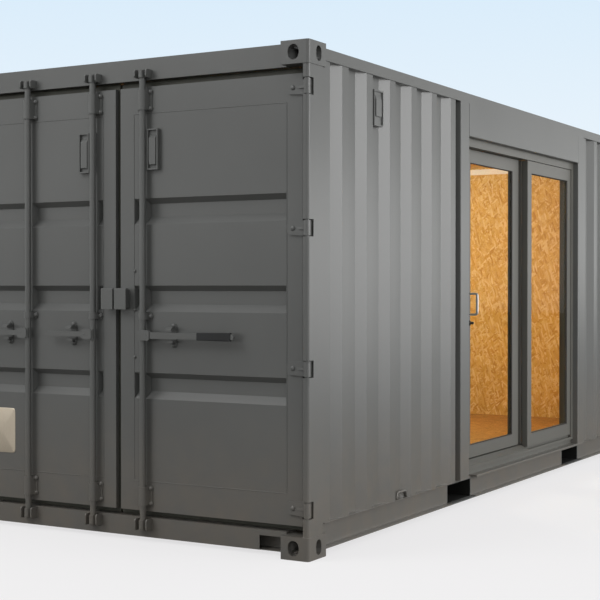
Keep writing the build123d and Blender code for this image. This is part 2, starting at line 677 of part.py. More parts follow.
def leaf_frame(span, leaf):
    """A glazed leaf's ring of stiles and rails, with its long outer edges eased."""
    low, high = X_DOOR + span[0], X_DOOR + span[1]
    depth = (Y_SIDE + leaf["front"], Y_SIDE + leaf["front"] + leaf["depth"])
    ring = block((low, high), depth, (leaf["bottom"], LEAF_TOP))
    ring = chamfer(ring.edges().filter_by(Axis.Z).group_by(Axis.Y)[0], LEAF_EDGE)
    return ring - block((low + leaf["stiles"][0], high - leaf["stiles"][1]), (depth[0] - 1, depth[1] + 1),
                        (leaf["glass"], GLASS_TOP))


def leaf_glass(span, leaf):
    middle = Y_SIDE + leaf["front"] + leaf["depth"] / 2
    return block((X_DOOR + span[0] + leaf["stiles"][0], X_DOOR + span[1] - leaf["stiles"][1]),
                 (middle - GLASS / 2, middle + GLASS / 2), (leaf["glass"], GLASS_TOP))


def interlock_groove():
    """The groove down the sliding leaf's meeting stile, where the two leaves hook together."""
    front = Y_SIDE + SLIDING_LEAF["front"]
    return block((X_DOOR + INTERLOCK_GROOVE[0], X_DOOR + INTERLOCK_GROOVE[1]),
                 (front - 1, front + INTERLOCK_GROOVE_DEPTH), (SLIDING_LEAF["bottom"] - 1, LEAF_TOP + 1))


def pull_handle():
    """The bow handle on the sliding leaf's outer face, bent from one bar with round corners."""
    face = Y_SIDE + SLIDING_LEAF["front"]
    x = X_DOOR + PULL_PLACE
    low, high = PULL_HEIGHTS
    bow = block((x - PULL_BAR / 2, x + PULL_BAR / 2), (face - PULL_REACH, face), (low, high))
    bow = fillet(bow.edges().filter_by(Axis.X).group_by(Axis.Y)[0], PULL_BAR + 6)
    inside = block((x - PULL_BAR, x + PULL_BAR), (face - PULL_REACH + PULL_BAR, face + 20),
                   (low + PULL_BAR, high - PULL_BAR))
    return bow - fillet(inside.edges().filter_by(Axis.X).group_by(Axis.Y)[0], 6)


# ---------------------------------------------------------------- cargo doors
# Each door is drawn on the sliding door side; the left one is mirrored to the other side.

def door_span(free_edge):
    return (Y_SIDE + DOOR_EDGE, Y_SIDE + free_edge)


def door_frame(free_edge):
    """Stiles and planks of one cargo door, as one welded ring of box section."""
    low, high = door_span(free_edge)
    depth = (X_DOOR + DOOR_FACE, X_DOOR + DOOR_FACE + DOOR_DEPTH)
    ring = block(depth, (low, high), (DOOR_BOTTOM, DOOR_TOP))
    return ring - block((depth[0] - 1, depth[1] + 1), (low + HINGE_STILE, Y_SIDE + PANEL_END),
                        (DOOR_BOTTOM + BOTTOM_PLANK, DOOR_TOP - TOP_PLANK))


def groove(y_span, middle, face, depth, spread):
    """A pressed trough: two wedge-sided bars, one along Y and one along Z, where they meet."""
    mouth, floor = GROOVE_HEIGHT / 2 + spread, GROOVE_FLAT / 2 + spread
    foot = floor + GROOVE_LOWER_SLOPE
    start, stop = y_span[0] - spread, y_span[1] + spread
    along = along_y([(face, middle - foot), (face, middle + mouth), (face + depth, middle + floor),
                     (face + depth, middle - floor)], start, stop)
    ends = upright([(face, start), (face, stop), (face + depth, stop - GROOVE_END_SLOPE),
                    (face + depth, start + GROOVE_END_SLOPE)], middle - foot, middle + mouth)
    return along & ends


def door_panel(groove_spans):
    """The pressed sheet of one cargo door with three rows of troughs, flat behind each rod."""
    face = X_DOOR + DOOR_FACE
    bottom, top = DOOR_BOTTOM + BOTTOM_PLANK, DOOR_TOP - TOP_PLANK
    sheet = block((face, face + DOOR_SHEET), (Y_SIDE + DOOR_EDGE + HINGE_STILE, Y_SIDE + PANEL_END),
                  (bottom, top))
    troughs = [((Y_SIDE + start, Y_SIDE + stop), (bottom + top) / 2 + GROOVE_PITCH * i)
               for start, stop in groove_spans for i in (-1, 0, 1)]
    sheet += [groove(span, middle, face, GROOVE_DEPTH + DOOR_SHEET, DOOR_SHEET / 2) for span, middle in troughs]
    return sheet - [groove(span, middle, face, GROOVE_DEPTH, 0) for span, middle in troughs]


def door_gasket(free_edge):
    """The rubber seal that stands out round the door's edge, its front rounded over."""
    low, high = door_span(free_edge)
    depth = (X_DOOR + GASKET_FRONT, X_DOOR + GASKET_BACK)
    seal = block(depth, (low - GASKET_HINGE_LIP, high + GASKET_LIP),
                 (DOOR_BOTTOM - GASKET_BAND, DOOR_TOP + GASKET_TOP_BAND))
    front = seal.edges().group_by(Axis.X)[0].sort_by(Axis.Y)[1:]
    seal = fillet(front, GASKET_ROUND)
    return seal - block((depth[0] - 1, depth[1] + 1), (low, high), (DOOR_BOTTOM, DOOR_TOP))


def hinge_blade(height):
    """A gooseneck hinge: knuckle on the pin, a leg back into the post's notch, a strap on the
    door with rounded corners, and a web that braces the strap against the knuckle."""
    axis_x, axis_y = X_DOOR + HINGE_AXIS, Y_SIDE + HINGE_AXIS
    low, high = height - BLADE_HALF, height + BLADE_HALF
    face = X_DOOR + DOOR_FACE
    blade = prism(axis_x, axis_y, low, high, KNUCKLE_RADIUS, FITTING_SIDES)
    blade += block((axis_x, face), (axis_y - 7, axis_y + 9), (low, high))
    strap = along_x([(axis_y - 7, low), (axis_y + 30, low), (Y_SIDE + BLADE_TIP, height - BLADE_TIP_HALF),
                     (Y_SIDE + BLADE_TIP, height + BLADE_TIP_HALF), (axis_y + 30, high), (axis_y - 7, high)],
                    face - BLADE_THICK, face)
    tip = strap.edges().filter_by(Axis.X).group_by(Axis.Y)[-1]
    blade += chamfer(tip, BLADE_CORNER)
    blade += upright([(axis_x + 10, axis_y + 9), (face - BLADE_THICK, axis_y + 9),
                      (face - BLADE_THICK, axis_y + 74)], height - BLADE_WEB, height + BLADE_WEB)
    return blade - prism(axis_x, axis_y, low - 1, high + 1, PIN_RADIUS + 0.5, FITTING_SIDES, bore=True)


def rod_bracket(y, height, size):
    """A bearing bracket: a base plate with clipped corners and a saddle round the lock rod."""
    face = X_DOOR + DOOR_FACE
    axis = X_DOOR + ROD_DEPTH
    low, high = height - size / 2, height + size / 2
    plate = block((face - 6, face), (y - 42, y + 42), (low, high))
    bracket = chamfer(plate.edges().filter_by(Axis.X), 9)
    bracket += upright([(axis, y - 23), (face - 6, y - 27), (face - 6, y + 27), (axis, y + 23)], low + 5, high - 5)
    bracket += prism(axis, y, low + 5, high - 5, 23, FITTING_SIDES)
    return bracket - prism(axis, y, low - 1, high + 1, ROD_RADIUS + 0.6, FITTING_SIDES, bore=True)


def handle_retainer(y):
    """The cradle that a handle rests in: a long base plate, a lipped arm over it and one under."""
    face = X_DOOR + DOOR_FACE
    plate = block((face - 6, face), (y - 19, y + 19), (HANDLE_HEIGHT - 62, HANDLE_HEIGHT + 62))
    cradle = chamfer(plate.edges().filter_by(Axis.X), 10)
    cradle += block((X_DOOR + 20, face - 6), (y - 19, y + 19), (HANDLE_HEIGHT - 38, HANDLE_HEIGHT - 27))
    cradle += along_y([(face - 6, HANDLE_HEIGHT + 27), (X_DOOR + 4, HANDLE_HEIGHT + 27),
                       (X_DOOR + 4, HANDLE_HEIGHT + 33), (X_DOOR + 16, HANDLE_HEIGHT + 44),
                       (face - 6, HANDLE_HEIGHT + 44)], y - 19, y + 19)
    return cradle


def door_vent(start, z_span, hood_span):
    """A ventilator: a raised box, sunk inside its rim, with a sloped hood that is open below and a
    flange that reaches behind the lock rod."""
    face = X_DOOR + DOOR_FACE
    y_span = (start, start + VENT_WIDTH)
    box = block((face - 24, face), y_span, z_span)
    box -= block((face - 25, face - 10), (y_span[0] + 7, y_span[1] - 7), (z_span[0] + 7, z_span[1] - 7))
    box += block((face - 3, face), (start, start + VENT_FLANGE), z_span)
    top, bottom = z_span[1] - 30, z_span[0] + 28
    hood = along_y([(face - 10, top), (face - 24, top - 20), (face - 24, bottom), (face - 10, bottom)],
                   *hood_span)
    inner = along_y([(face - 11, top - 6), (face - 21, top - 22), (face - 21, bottom - 1), (face - 11, bottom - 1)],
                    hood_span[0] + 4, hood_span[1] - 4)
    return box + (hood - inner)


def lock_box(edge_y, outer_y):
    """Half of the padlock box: a cover folded back at its top and a smaller guard, open below."""
    face = X_DOOR + DOOR_FACE
    low, high = sorted((edge_y, outer_y))
    cover = along_y([(X_DOOR + 12, 1243), (X_DOOR + 12, 1351), (X_DOOR + 18, 1357), (X_DOOR + 34, 1357),
                     (X_DOOR + 34, 1351), (X_DOOR + 18, 1351), (X_DOOR + 18, 1243)], low, high)
    shrink = 10 if outer_y > edge_y else -10
    guard_low, guard_high = sorted((edge_y, outer_y - shrink))
    guard = block((X_DOOR + 18, face), (guard_low, guard_high), (1250, 1350))
    guard -= block((X_DOOR + 22, face - 4), (guard_low + 4, guard_high - 4), (1249, 1346))
    return cover + guard


def lock_rod(y):
    """A lock rod with a cam at each end and the two-cheeked clamp that holds its handle."""
    axis = X_DOOR + ROD_DEPTH
    bar = rod(axis, y, ROD_BOTTOM, ROD_TOP, ROD_RADIUS)
    for low, high in (CAM_BOTTOM_BAND, CAM_TOP_BAND):
        cam = [(axis - CAM_NOSE + 1, y - 7), (axis - CAM_NOSE + 5, y - 13), (axis, y - CAM_RADIUS),
               (axis + 15, y - 16), (axis + 15, y + 16), (axis, y + CAM_RADIUS),
               (axis - CAM_NOSE + 5, y + 13), (axis - CAM_NOSE + 1, y + 7)]
        bar += upright(cam, low, high)
    heights = (HANDLE_HEIGHT - CLAMP_HALF, HANDLE_HEIGHT + CLAMP_HALF)
    back = X_DOOR + HANDLE_FRONT + HANDLE_THICK
    for front in (X_DOOR + HANDLE_FRONT - CLAMP_PLATE, back):
        cheek = block((front, front + CLAMP_PLATE), (y - CLAMP_REACH, y + 8), heights)
        bar += chamfer(cheek.edges().filter_by(Axis.X), 8)
    bar += block((X_DOOR + HANDLE_FRONT, axis + 14), (y - 16, y + 14), heights)
    pin = Plane.YZ.offset(X_DOOR + HANDLE_FRONT) * Pos(y - CLAMP_PIN, HANDLE_HEIGHT) * Circle(5)
    return bar + extrude(pin, HANDLE_THICK, dir=(1, 0, 0))


def rod_handle(y, handle):
    """A flat bar handle, pinned in its clamp, that tapers to a rounded tip on the hinge side."""
    front = X_DOOR + HANDLE_FRONT
    root, tip = handle["root"] / 2, handle["tip"] / 2
    bar = along_x([(y - 16.5, HANDLE_HEIGHT - root), (y - 16.5, HANDLE_HEIGHT + root),
                   (y - handle["length"], HANDLE_HEIGHT + tip), (y - handle["length"], HANDLE_HEIGHT - tip)],
                  front, front + HANDLE_THICK)
    bar = fillet(bar.edges().filter_by(Axis.X).group_by(Axis.Y)[0], tip - 2)
    hole = Plane.YZ.offset(front - 1) * Pos(y - CLAMP_PIN, HANDLE_HEIGHT) * Circle(5.5)
    return bar - extrude(hole, HANDLE_THICK + 2, dir=(1, 0, 0))


def handle_grip(y):
    """The rubber sleeve near the end of the right door's handle, thicker towards its middle end."""
    front = X_DOOR + HANDLE_FRONT
    start, stop = y - GRIP_SPAN[1], y - GRIP_SPAN[0]
    thin, thick = GRIP_HALVES
    sleeve = along_x([(start, HANDLE_HEIGHT - thick), (start, HANDLE_HEIGHT + thick),
                      (stop, HANDLE_HEIGHT + thin + 3), (stop, HANDLE_HEIGHT - thin - 3)],
                     front - GRIP_PAD, front + HANDLE_THICK + GRIP_PAD)
    sleeve = chamfer(sleeve.edges().filter_by(Axis.Y, tolerance=5), GRIP_PAD)
    return sleeve - rod_handle(y, RIGHT_HANDLE)


def cam_keepers():
    """Pairs of lugs with clipped noses on the header and the sill, one each side of every cam."""
    lugs = []
    nose, face = X_DOOR + 6, X_DOOR + PORTAL_FACE
    for y in (Y_SIDE + RIGHT_ROD, -Y_SIDE - LEFT_INNER_ROD, -Y_SIDE - LEFT_OUTER_ROD):
        for low, high in ((CAM_BOTTOM_BAND[0] - 8, CAM_BOTTOM_BAND[1] + 6),
                          (CAM_TOP_BAND[0], CAM_TOP_BAND[1] + 8)):
            lug = [(face, low), (nose + 8, low), (nose, low + 9), (nose, high - 9), (nose + 8, high), (face, high)]
            for start in (y - KEEPER_GAP - KEEPER_LUG, y + KEEPER_GAP):
                lugs.append(along_y(lug, start, start + KEEPER_LUG))
    return lugs


def wall_vent():
    """The ventilator high on the side wall, let into a fold beside the second crest."""
    second_crest_end = SIDE_FIRST_CREST + SIDE_PITCH + SIDE_CREST
    start, stop = second_crest_end + 7, second_crest_end + 117
    valley_start = second_crest_end + SIDE_SLOPE
    valley = CREST_INSET + SIDE_DEPTH
    start_depth = CREST_INSET + SIDE_DEPTH * 7 / SIDE_SLOPE
    outline = [(start, 4), (stop, 4), (stop, valley), (valley_start, valley), (start, start_depth)]
    box = upright([(X_DOOR + s, Y_SIDE + depth) for s, depth in outline], 2237, 2432)
    inside = (X_DOOR + start + 8, X_DOOR + stop - 8)
    box -= block(inside, (Y_SIDE, Y_SIDE + 12), (2245, 2424))
    hood = [(Y_SIDE + 12, 2408), (Y_SIDE + 4, 2380), (Y_SIDE + 4, 2290), (Y_SIDE + 7, 2290),
            (Y_SIDE + 7, 2378), (Y_SIDE + 12, 2398)]
    return box + along_x(hood, inside[0] + 14, inside[1] - 14)


# ---------------------------------------------------------------- the nodes

os.makedirs("parts", exist_ok=True)

save("corner_castings", *corner_castings())
hinge_post = door_end_post()
save("door_end_corner_posts", hinge_post, mirrored(hinge_post))
plain_post = blind_end_post()
save("blind_end_corner_posts", plain_post, mirrored(plain_post))
save("door_header", door_header())
save("door_sill", door_sill())
save("blind_end_rails", *blind_end_rails())
side_rail = top_side_rail()
save("top_side_rails", side_rail, mirrored(side_rail))
base_rail = bottom_side_rail()
save("bottom_side_rails", *base_rail, *[mirrored(piece) for piece in base_rail])
pocket_webs, pocket_plates = fork_pockets()
save("fork_pocket_webs", *pocket_webs)
save("fork_pocket_plates", *pocket_plates)
aprons = pocket_aprons()
save("fork_pocket_aprons", *aprons, *[mirrored(piece) for piece in aprons])
save("floor_cross_members", *floor_members())
save("roof_panel", roof())
save("patio_side_walls", side_wall(POST_DEPTH, DOORWAY_LEFT - DOORWAY_POST),
     side_wall(DOORWAY_RIGHT + DOORWAY_POST, LENGTH - END_POST_REACH))
save("rear_wall", mirrored(side_wall(POST_DEPTH, LENGTH - END_POST_REACH)))
save("blind_end_wall", blind_end_wall())
save("floor_deck", floor_deck())
save("side_wall_linings", *side_linings())
save("end_wall_lining", end_lining())
save("ceiling_lining", ceiling_lining())
near_jamb = jamb_lining()
save("doorway_linings", near_jamb, mirrored(near_jamb), doorway_head_lining())
save("end_wall_trim", end_trim())
save("doorway_posts", *doorway_posts())
save("doorway_lintel", doorway_lintel())
save("doorway_sill", doorway_sill())
save("sliding_frame_jambs", *sliding_frame_jambs())
save("sliding_frame_tracks", *sliding_frame_tracks())
fixed_span = (FIXED_LEAF_START, DOORWAY_RIGHT - JAMB - LEAF_GAP)
sliding_span = (DOORWAY_LEFT + JAMB + LEAF_GAP, SLIDING_LEAF_END)
save("fixed_leaf_frame", leaf_frame(fixed_span, FIXED_LEAF))
save("fixed_leaf_glass", leaf_glass(fixed_span, FIXED_LEAF))
save("sliding_leaf_frame", leaf_frame(sliding_span, SLIDING_LEAF) - interlock_groove())
save("sliding_leaf_glass", leaf_glass(sliding_span, SLIDING_LEAF))
save("sliding_leaf_handle", pull_handle())
save("cam_keepers", *cam_keepers())
save("wall_vent", wall_vent())

save("right_door_frame", door_frame(RIGHT_DOOR_FREE))
save("right_door_panel", door_panel(RIGHT_GROOVES))
save("right_door_gasket", door_gasket(RIGHT_DOOR_FREE))
blades = [hinge_blade(height) for height in HINGE_HEIGHTS]
save("right_door_hinges", *blades)
right_fittings = [rod_bracket(Y_SIDE + RIGHT_ROD, height, size)
                  for height, size in zip(BRACKET_HEIGHTS, BRACKET_SIZES)]
save("right_rod_brackets", *right_fittings, handle_retainer(Y_SIDE + RIGHT_ROD - 183))
save("right_door_vent", door_vent(Y_SIDE + 944, VENT_HEIGHTS, (Y_SIDE + 958, Y_SIDE + 1001)))
save("right_lock_box", lock_box(-5, -82))
save("right_lock_rod", lock_rod(Y_SIDE + RIGHT_ROD))
save("right_handle", rod_handle(Y_SIDE + RIGHT_ROD, RIGHT_HANDLE))
save("right_handle_grip", handle_grip(Y_SIDE + RIGHT_ROD))

save("left_door_frame", mirrored(door_frame(LEFT_DOOR_FREE)))
save("left_door_panel", mirrored(door_panel(LEFT_GROOVES)))
save("left_door_gasket", mirrored(door_gasket(LEFT_DOOR_FREE)))
save("left_door_hinges", *[mirrored(blade) for blade in blades])
left_fittings = [rod_bracket(Y_SIDE + y, height, size) for y in (LEFT_INNER_ROD, LEFT_OUTER_ROD)
                 for height, size in zip(BRACKET_HEIGHTS, BRACKET_SIZES)]
left_fittings += [handle_retainer(Y_SIDE + y - 155) for y in (LEFT_INNER_ROD, LEFT_OUTER_ROD)]
save("left_rod_brackets", *[mirrored(piece) for piece in left_fittings])
save("left_door_vent", mirrored(door_vent(Y_SIDE + 962, VENT_HEIGHTS, (Y_SIDE + 976, Y_SIDE + 1019))))
save("left_lock_box", mirrored(lock_box(-7, -84)))
for name, y in (("left_inner", LEFT_INNER_ROD), ("left_outer", LEFT_OUTER_ROD)):
    save(f"{name}_lock_rod", mirrored(lock_rod(Y_SIDE + y)))
    save(f"{name}_handle", mirrored(rod_handle(Y_SIDE + y, LEFT_HANDLE)))
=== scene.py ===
"""Finishes the container cabin: sprayed paint, strand board, glass, seals, bolts, welds and its stage."""
import json
import math

import bmesh
import bpy
import numpy as np
from bpy.props import FloatProperty, FloatVectorProperty, PointerProperty
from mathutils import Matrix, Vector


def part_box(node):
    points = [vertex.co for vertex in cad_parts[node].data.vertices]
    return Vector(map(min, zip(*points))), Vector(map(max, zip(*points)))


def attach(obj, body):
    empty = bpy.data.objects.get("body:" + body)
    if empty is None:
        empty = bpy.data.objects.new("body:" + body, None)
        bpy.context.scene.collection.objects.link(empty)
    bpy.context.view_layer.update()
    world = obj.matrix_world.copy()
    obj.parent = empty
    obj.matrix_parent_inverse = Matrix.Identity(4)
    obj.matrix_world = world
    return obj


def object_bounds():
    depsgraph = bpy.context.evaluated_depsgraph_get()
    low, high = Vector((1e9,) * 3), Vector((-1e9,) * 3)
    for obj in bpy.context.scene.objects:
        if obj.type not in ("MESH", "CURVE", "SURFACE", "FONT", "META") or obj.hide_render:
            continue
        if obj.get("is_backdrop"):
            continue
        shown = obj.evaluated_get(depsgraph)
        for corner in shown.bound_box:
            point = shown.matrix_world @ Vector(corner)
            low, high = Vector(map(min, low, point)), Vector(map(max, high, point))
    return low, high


bl_info = {
    "name": "Container cabin finish",
    "version": (1, 0, 0),
    "blender": (4, 5, 0),
    "location": "View3D > Sidebar > Cabin",
    "description": "Paint, boards, glass and small fittings of a container cabin",
    "category": "Object",
}

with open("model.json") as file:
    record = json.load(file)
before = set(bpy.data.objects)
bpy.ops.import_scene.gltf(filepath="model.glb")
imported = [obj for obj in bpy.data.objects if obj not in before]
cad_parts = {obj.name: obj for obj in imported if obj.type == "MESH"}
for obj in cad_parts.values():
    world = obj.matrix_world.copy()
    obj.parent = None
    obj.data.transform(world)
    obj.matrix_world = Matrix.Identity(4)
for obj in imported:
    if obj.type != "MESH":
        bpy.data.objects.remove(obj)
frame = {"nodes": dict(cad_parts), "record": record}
NODES = frame["nodes"]
MM = 0.001
ENAMEL = "Satin alkyd enamel on steel"


# ---------------------------------------------------------------- colours and nodes

# The sockets of a Mix node that is set to colour: its share, its two colours and its result.
SHARE, UNDER, OVER, MIXED = 0, 6, 7, 2
# Sizes that the patterns are drawn from. Orange peel is really 2 to 3 mm across and the grit of
# powder coat under 1 mm: both are drawn coarser, so that they still break up a highlight from afar.
PEEL = 12 * MM
GRIT = 5 * MM
BRUSH_MARK = 20 * MM
FLAKE_LENGTH, FLAKE_WIDTH, GRAIN_WIDTH = 60 * MM, 13 * MM, 4 * MM
# The turn and the shift of each layer of flakes, from the bottom up.
FLAKE_LAYERS = ((0.2, 0.0), (1.25, 3.1), (-0.7, 7.7), (0.75, 12.9), (-1.3, 21.3))


def linear(hex_colour):
    """An sRGB hex value as linear red, green, blue and 1 for alpha."""
    channels = np.array([int(hex_colour[i:i + 2], 16) for i in (1, 3, 5)]) / 255
    curve = np.where(channels <= 0.04045, channels / 12.92, ((channels + 0.055) / 1.055) ** 2.4)
    return (*curve.tolist(), 1.0)


def add_node(tree, kind, settings=None, sockets=None):
    """A new node: settings are its own properties, sockets its inputs as values or as (node, output)."""
    made = tree.nodes.new(kind)
    for name, value in (settings or {}).items():
        setattr(made, name, value)
    for name, value in (sockets or {}).items():
        if isinstance(value, tuple) and isinstance(value[0], bpy.types.Node):
            tree.links.new(value[0].outputs[value[1]], made.inputs[name])
        else:
            made.inputs[name].default_value = value
    return made


def new_material(name):
    """An empty node material with its output, returned with its tree."""
    material = bpy.data.materials.new(name)
    material.use_nodes = True
    material.node_tree.nodes.clear()
    return material, material.node_tree


def set_ramp(node, stops):
    """Fills a colour ramp with (position, colour) stops."""
    ramp = node.color_ramp
    while len(ramp.elements) < len(stops):
        ramp.elements.new(1.0)
    for element, (position, colour) in zip(ramp.elements, stops):
        element.position = position
        element.color = colour


def toned(colour, share):
    """A colour with its light multiplied by a share."""
    return (*(channel * share for channel in colour[:3]), 1.0)


def sprayed_paint(name, colour, low_tint, roughness):
    """Alkyd enamel sprayed on blasted steel: satin, with a slight orange peel and some dust low down."""
    material, tree = new_material(name)
    place = (add_node(tree, "ShaderNodeTexCoord"), "Object")
    cloud = add_node(tree, "ShaderNodeTexNoise", sockets={"Vector": place, "Scale": 1.3, "Detail": 3.0})
    shade = add_node(tree, "ShaderNodeValToRGB", sockets={"Fac": (cloud, "Fac")})
    set_ramp(shade, [(0.3, toned(colour, 0.93)), (0.7, toned(colour, 1.06))])
    split = add_node(tree, "ShaderNodeSeparateXYZ", sockets={"Vector": place})
    # Road dust thins out with height, and is gone 0.9 m above the ground.
    low = add_node(tree, "ShaderNodeMapRange", {"interpolation_type": "SMOOTHSTEP"},
                   {"Value": (split, "Z"), "From Min": 0.0, "From Max": 0.9, "To Min": 0.7, "To Max": 0.0})
    speckle = add_node(tree, "ShaderNodeTexNoise", sockets={"Vector": place, "Scale": 9.0, "Detail": 6.0})
    dust = add_node(tree, "ShaderNodeMath", {"operation": "MULTIPLY"}, {0: (low, 0), 1: (speckle, "Fac")})
    base = add_node(tree, "ShaderNodeMix", {"data_type": "RGBA"},
                    {SHARE: (dust, 0), UNDER: (shade, "Color"), OVER: low_tint})
    peel = add_node(tree, "ShaderNodeTexNoise", sockets={"Vector": place, "Scale": 1 / PEEL, "Detail": 2.0})
    relief = add_node(tree, "ShaderNodeBump", sockets={"Height": (peel, "Fac"), "Strength": 0.06,
                                                       "Distance": 1 * MM})
    # Thin plate is never flat: broad shallow waves bend its reflections.
    wave = add_node(tree, "ShaderNodeTexNoise", sockets={"Vector": place, "Scale": 1.1, "Detail": 0.0})
    sag = add_node(tree, "ShaderNodeBump", sockets={"Height": (wave, "Fac"), "Normal": (relief, "Normal"),
                                                    "Strength": 0.12, "Distance": 10 * MM})
    # The sheen drifts in a narrow band, because a wide one draws a thin wavy line across the panels.
    sheen = add_node(tree, "ShaderNodeMapRange", sockets={"Value": (cloud, "Fac"), "To Min": roughness + 0.02,
                                                          "To Max": roughness + 0.05})
    body = add_node(tree, "ShaderNodeBsdfPrincipled",
                    sockets={"Base Color": (base, MIXED), "Roughness": (sheen, 0), "Normal": (sag, "Normal"),
                             "IOR": 1.5})
    add_node(tree, "ShaderNodeOutputMaterial", sockets={"Surface": (body, 0)})
    return material


def underbody_coat_and_shade(name, colour, tar_and_shade, inside):
    """Bituminous underbody coating, brushed on between the side rails, with enamel on the outer edges. Its
    near-black is partly the coating and partly painted shade, for the shadow in the fork pockets and under
    the floor.
    """
    material, tree = new_material(name)
    place = (add_node(tree, "ShaderNodeTexCoord"), "Object")
    split = add_node(tree, "ShaderNodeSeparateXYZ", sockets={"Vector": place})
    off_centre = add_node(tree, "ShaderNodeMath", {"operation": "ABSOLUTE"}, {0: (split, "Y")})
    # Painted shade, partly real bitumen: near-black everywhere between the side rails.
    under = add_node(tree, "ShaderNodeMath", {"operation": "LESS_THAN"}, {0: (off_centre, 0), 1: inside})
    base = add_node(tree, "ShaderNodeMix", {"data_type": "RGBA"},
                    {SHARE: (under, 0), UNDER: colour, OVER: tar_and_shade})
    strokes = add_node(tree, "ShaderNodeTexNoise",
                       sockets={"Vector": place, "Scale": 1 / BRUSH_MARK, "Detail": 3.0})
    relief = add_node(tree, "ShaderNodeBump", sockets={"Height": (strokes, "Fac"), "Strength": 0.3,
                                                       "Distance": 2 * MM})
    body = add_node(tree, "ShaderNodeBsdfPrincipled",
                    sockets={"Base Color": (base, MIXED), "Roughness": 0.55, "Normal": (relief, "Normal")})
    add_node(tree, "ShaderNodeOutputMaterial", sockets={"Surface": (body, 0)})
    return material


def soft_rubber(name, colour):
    """Extruded rubber: matt, with a faint bloom in patches about 70 mm across."""
    material, tree = new_material(name)
    place = (add_node(tree, "ShaderNodeTexCoord"), "Object")
    bloom = add_node(tree, "ShaderNodeTexNoise", sockets={"Vector": place, "Scale": 14.0, "Detail": 4.0})
    shade = add_node(tree, "ShaderNodeValToRGB", sockets={"Fac": (bloom, "Fac")})
    set_ramp(shade, [(0.35, colour), (0.75, toned(colour, 1.5))])
    body = add_node(tree, "ShaderNodeBsdfPrincipled",
                    sockets={"Base Color": (shade, "Color"), "Roughness": 0.62})
    add_node(tree, "ShaderNodeOutputMaterial", sockets={"Surface": (body, 0)})
    return material


def strand_board(name, across, up, tones):
    """Oriented strand board: long flakes pressed in layers at several angles.

    across and up name the two axes that lie in the face of the board."""
    material, tree = new_material(name)
    place = (add_node(tree, "ShaderNodeTexCoord"), "Object")
    split = add_node(tree, "ShaderNodeSeparateXYZ", sockets={"Vector": place})
    flat = add_node(tree, "ShaderNodeCombineXYZ", sockets={0: (split, across), 1: (split, up)})
    face_colour = None
    for turn, shift in FLAKE_LAYERS:
        lay = add_node(tree, "ShaderNodeMapping", {"vector_type": "POINT"},
                       {"Vector": (flat, 0), "Rotation": (0, 0, turn), "Location": (shift, shift, 0)})
        flake_size = add_node(tree, "ShaderNodeVectorMath", {"operation": "MULTIPLY"},
                              {0: (lay, 0), 1: (1 / FLAKE_LENGTH, 1 / FLAKE_WIDTH, 1.0)})
        flake = add_node(tree, "ShaderNodeTexVoronoi", {"voronoi_dimensions": "2D"},
                         {"Vector": (flake_size, 0), "Scale": 1.0})
        chance = add_node(tree, "ShaderNodeSeparateColor", sockets={"Color": (flake, "Color")})
        tone = add_node(tree, "ShaderNodeValToRGB", sockets={"Fac": (chance, "Red")})
        set_ramp(tone, [(i / (len(tones) - 1), colour) for i, colour in enumerate(tones)])
        if face_colour is None:
            face_colour = (tone, "Color")
            continue
        # Two flakes in five of each later layer cover the one below.
        seen = add_node(tree, "ShaderNodeMath", {"operation": "GREATER_THAN"}, {0: (chance, "Green"), 1: 0.6})
        layer = add_node(tree, "ShaderNodeMix", {"data_type": "RGBA"},
                         {SHARE: (seen, 0), UNDER: face_colour, OVER: (tone, "Color")})
        face_colour = (layer, MIXED)
    grain_size = add_node(tree, "ShaderNodeVectorMath", {"operation": "MULTIPLY"},
                          {0: (flat, 0), 1: (1 / FLAKE_LENGTH, 1 / GRAIN_WIDTH, 1.0)})
    grain = add_node(tree, "ShaderNodeTexNoise",
                     sockets={"Vector": (grain_size, 0), "Scale": 1.0, "Detail": 2.0})
    relief = add_node(tree, "ShaderNodeBump", sockets={"Height": (grain, "Fac"), "Strength": 0.25,
                                                       "Distance": 1 * MM})
    body = add_node(tree, "ShaderNodeBsdfPrincipled",
                    sockets={"Base Color": face_colour, "Roughness": 0.75, "Specular IOR Level": 0.25,
                             "Normal": (relief, "Normal")})
    add_node(tree, "ShaderNodeOutputMaterial", sockets={"Surface": (body, 0)})
    return material


def powder_coat(name, colour, roughness):
    """Powder coat on extruded aluminium: a fine even texture and a low sheen."""
    material, tree = new_material(name)
    place = (add_node(tree, "ShaderNodeTexCoord"), "Object")
    grit = add_node(tree, "ShaderNodeTexNoise", sockets={"Vector": place, "Scale": 1 / GRIT, "Detail": 2.0})
    relief = add_node(tree, "ShaderNodeBump", sockets={"Height": (grit, "Fac"), "Strength": 0.08,
                                                       "Distance": 0.5 * MM})
    cloud = add_node(tree, "ShaderNodeTexNoise", sockets={"Vector": place, "Scale": 2.0})
    shade = add_node(tree, "ShaderNodeValToRGB", sockets={"Fac": (cloud, "Fac")})
    set_ramp(shade, [(0.3, toned(colour, 0.94)), (0.7, toned(colour, 1.05))])
    body = add_node(tree, "ShaderNodeBsdfPrincipled",
                    sockets={"Base Color": (shade, "Color"), "Roughness": roughness,
                             "Normal": (relief, "Normal")})
    add_node(tree, "ShaderNodeOutputMaterial", sockets={"Surface": (body, 0)})
    return material


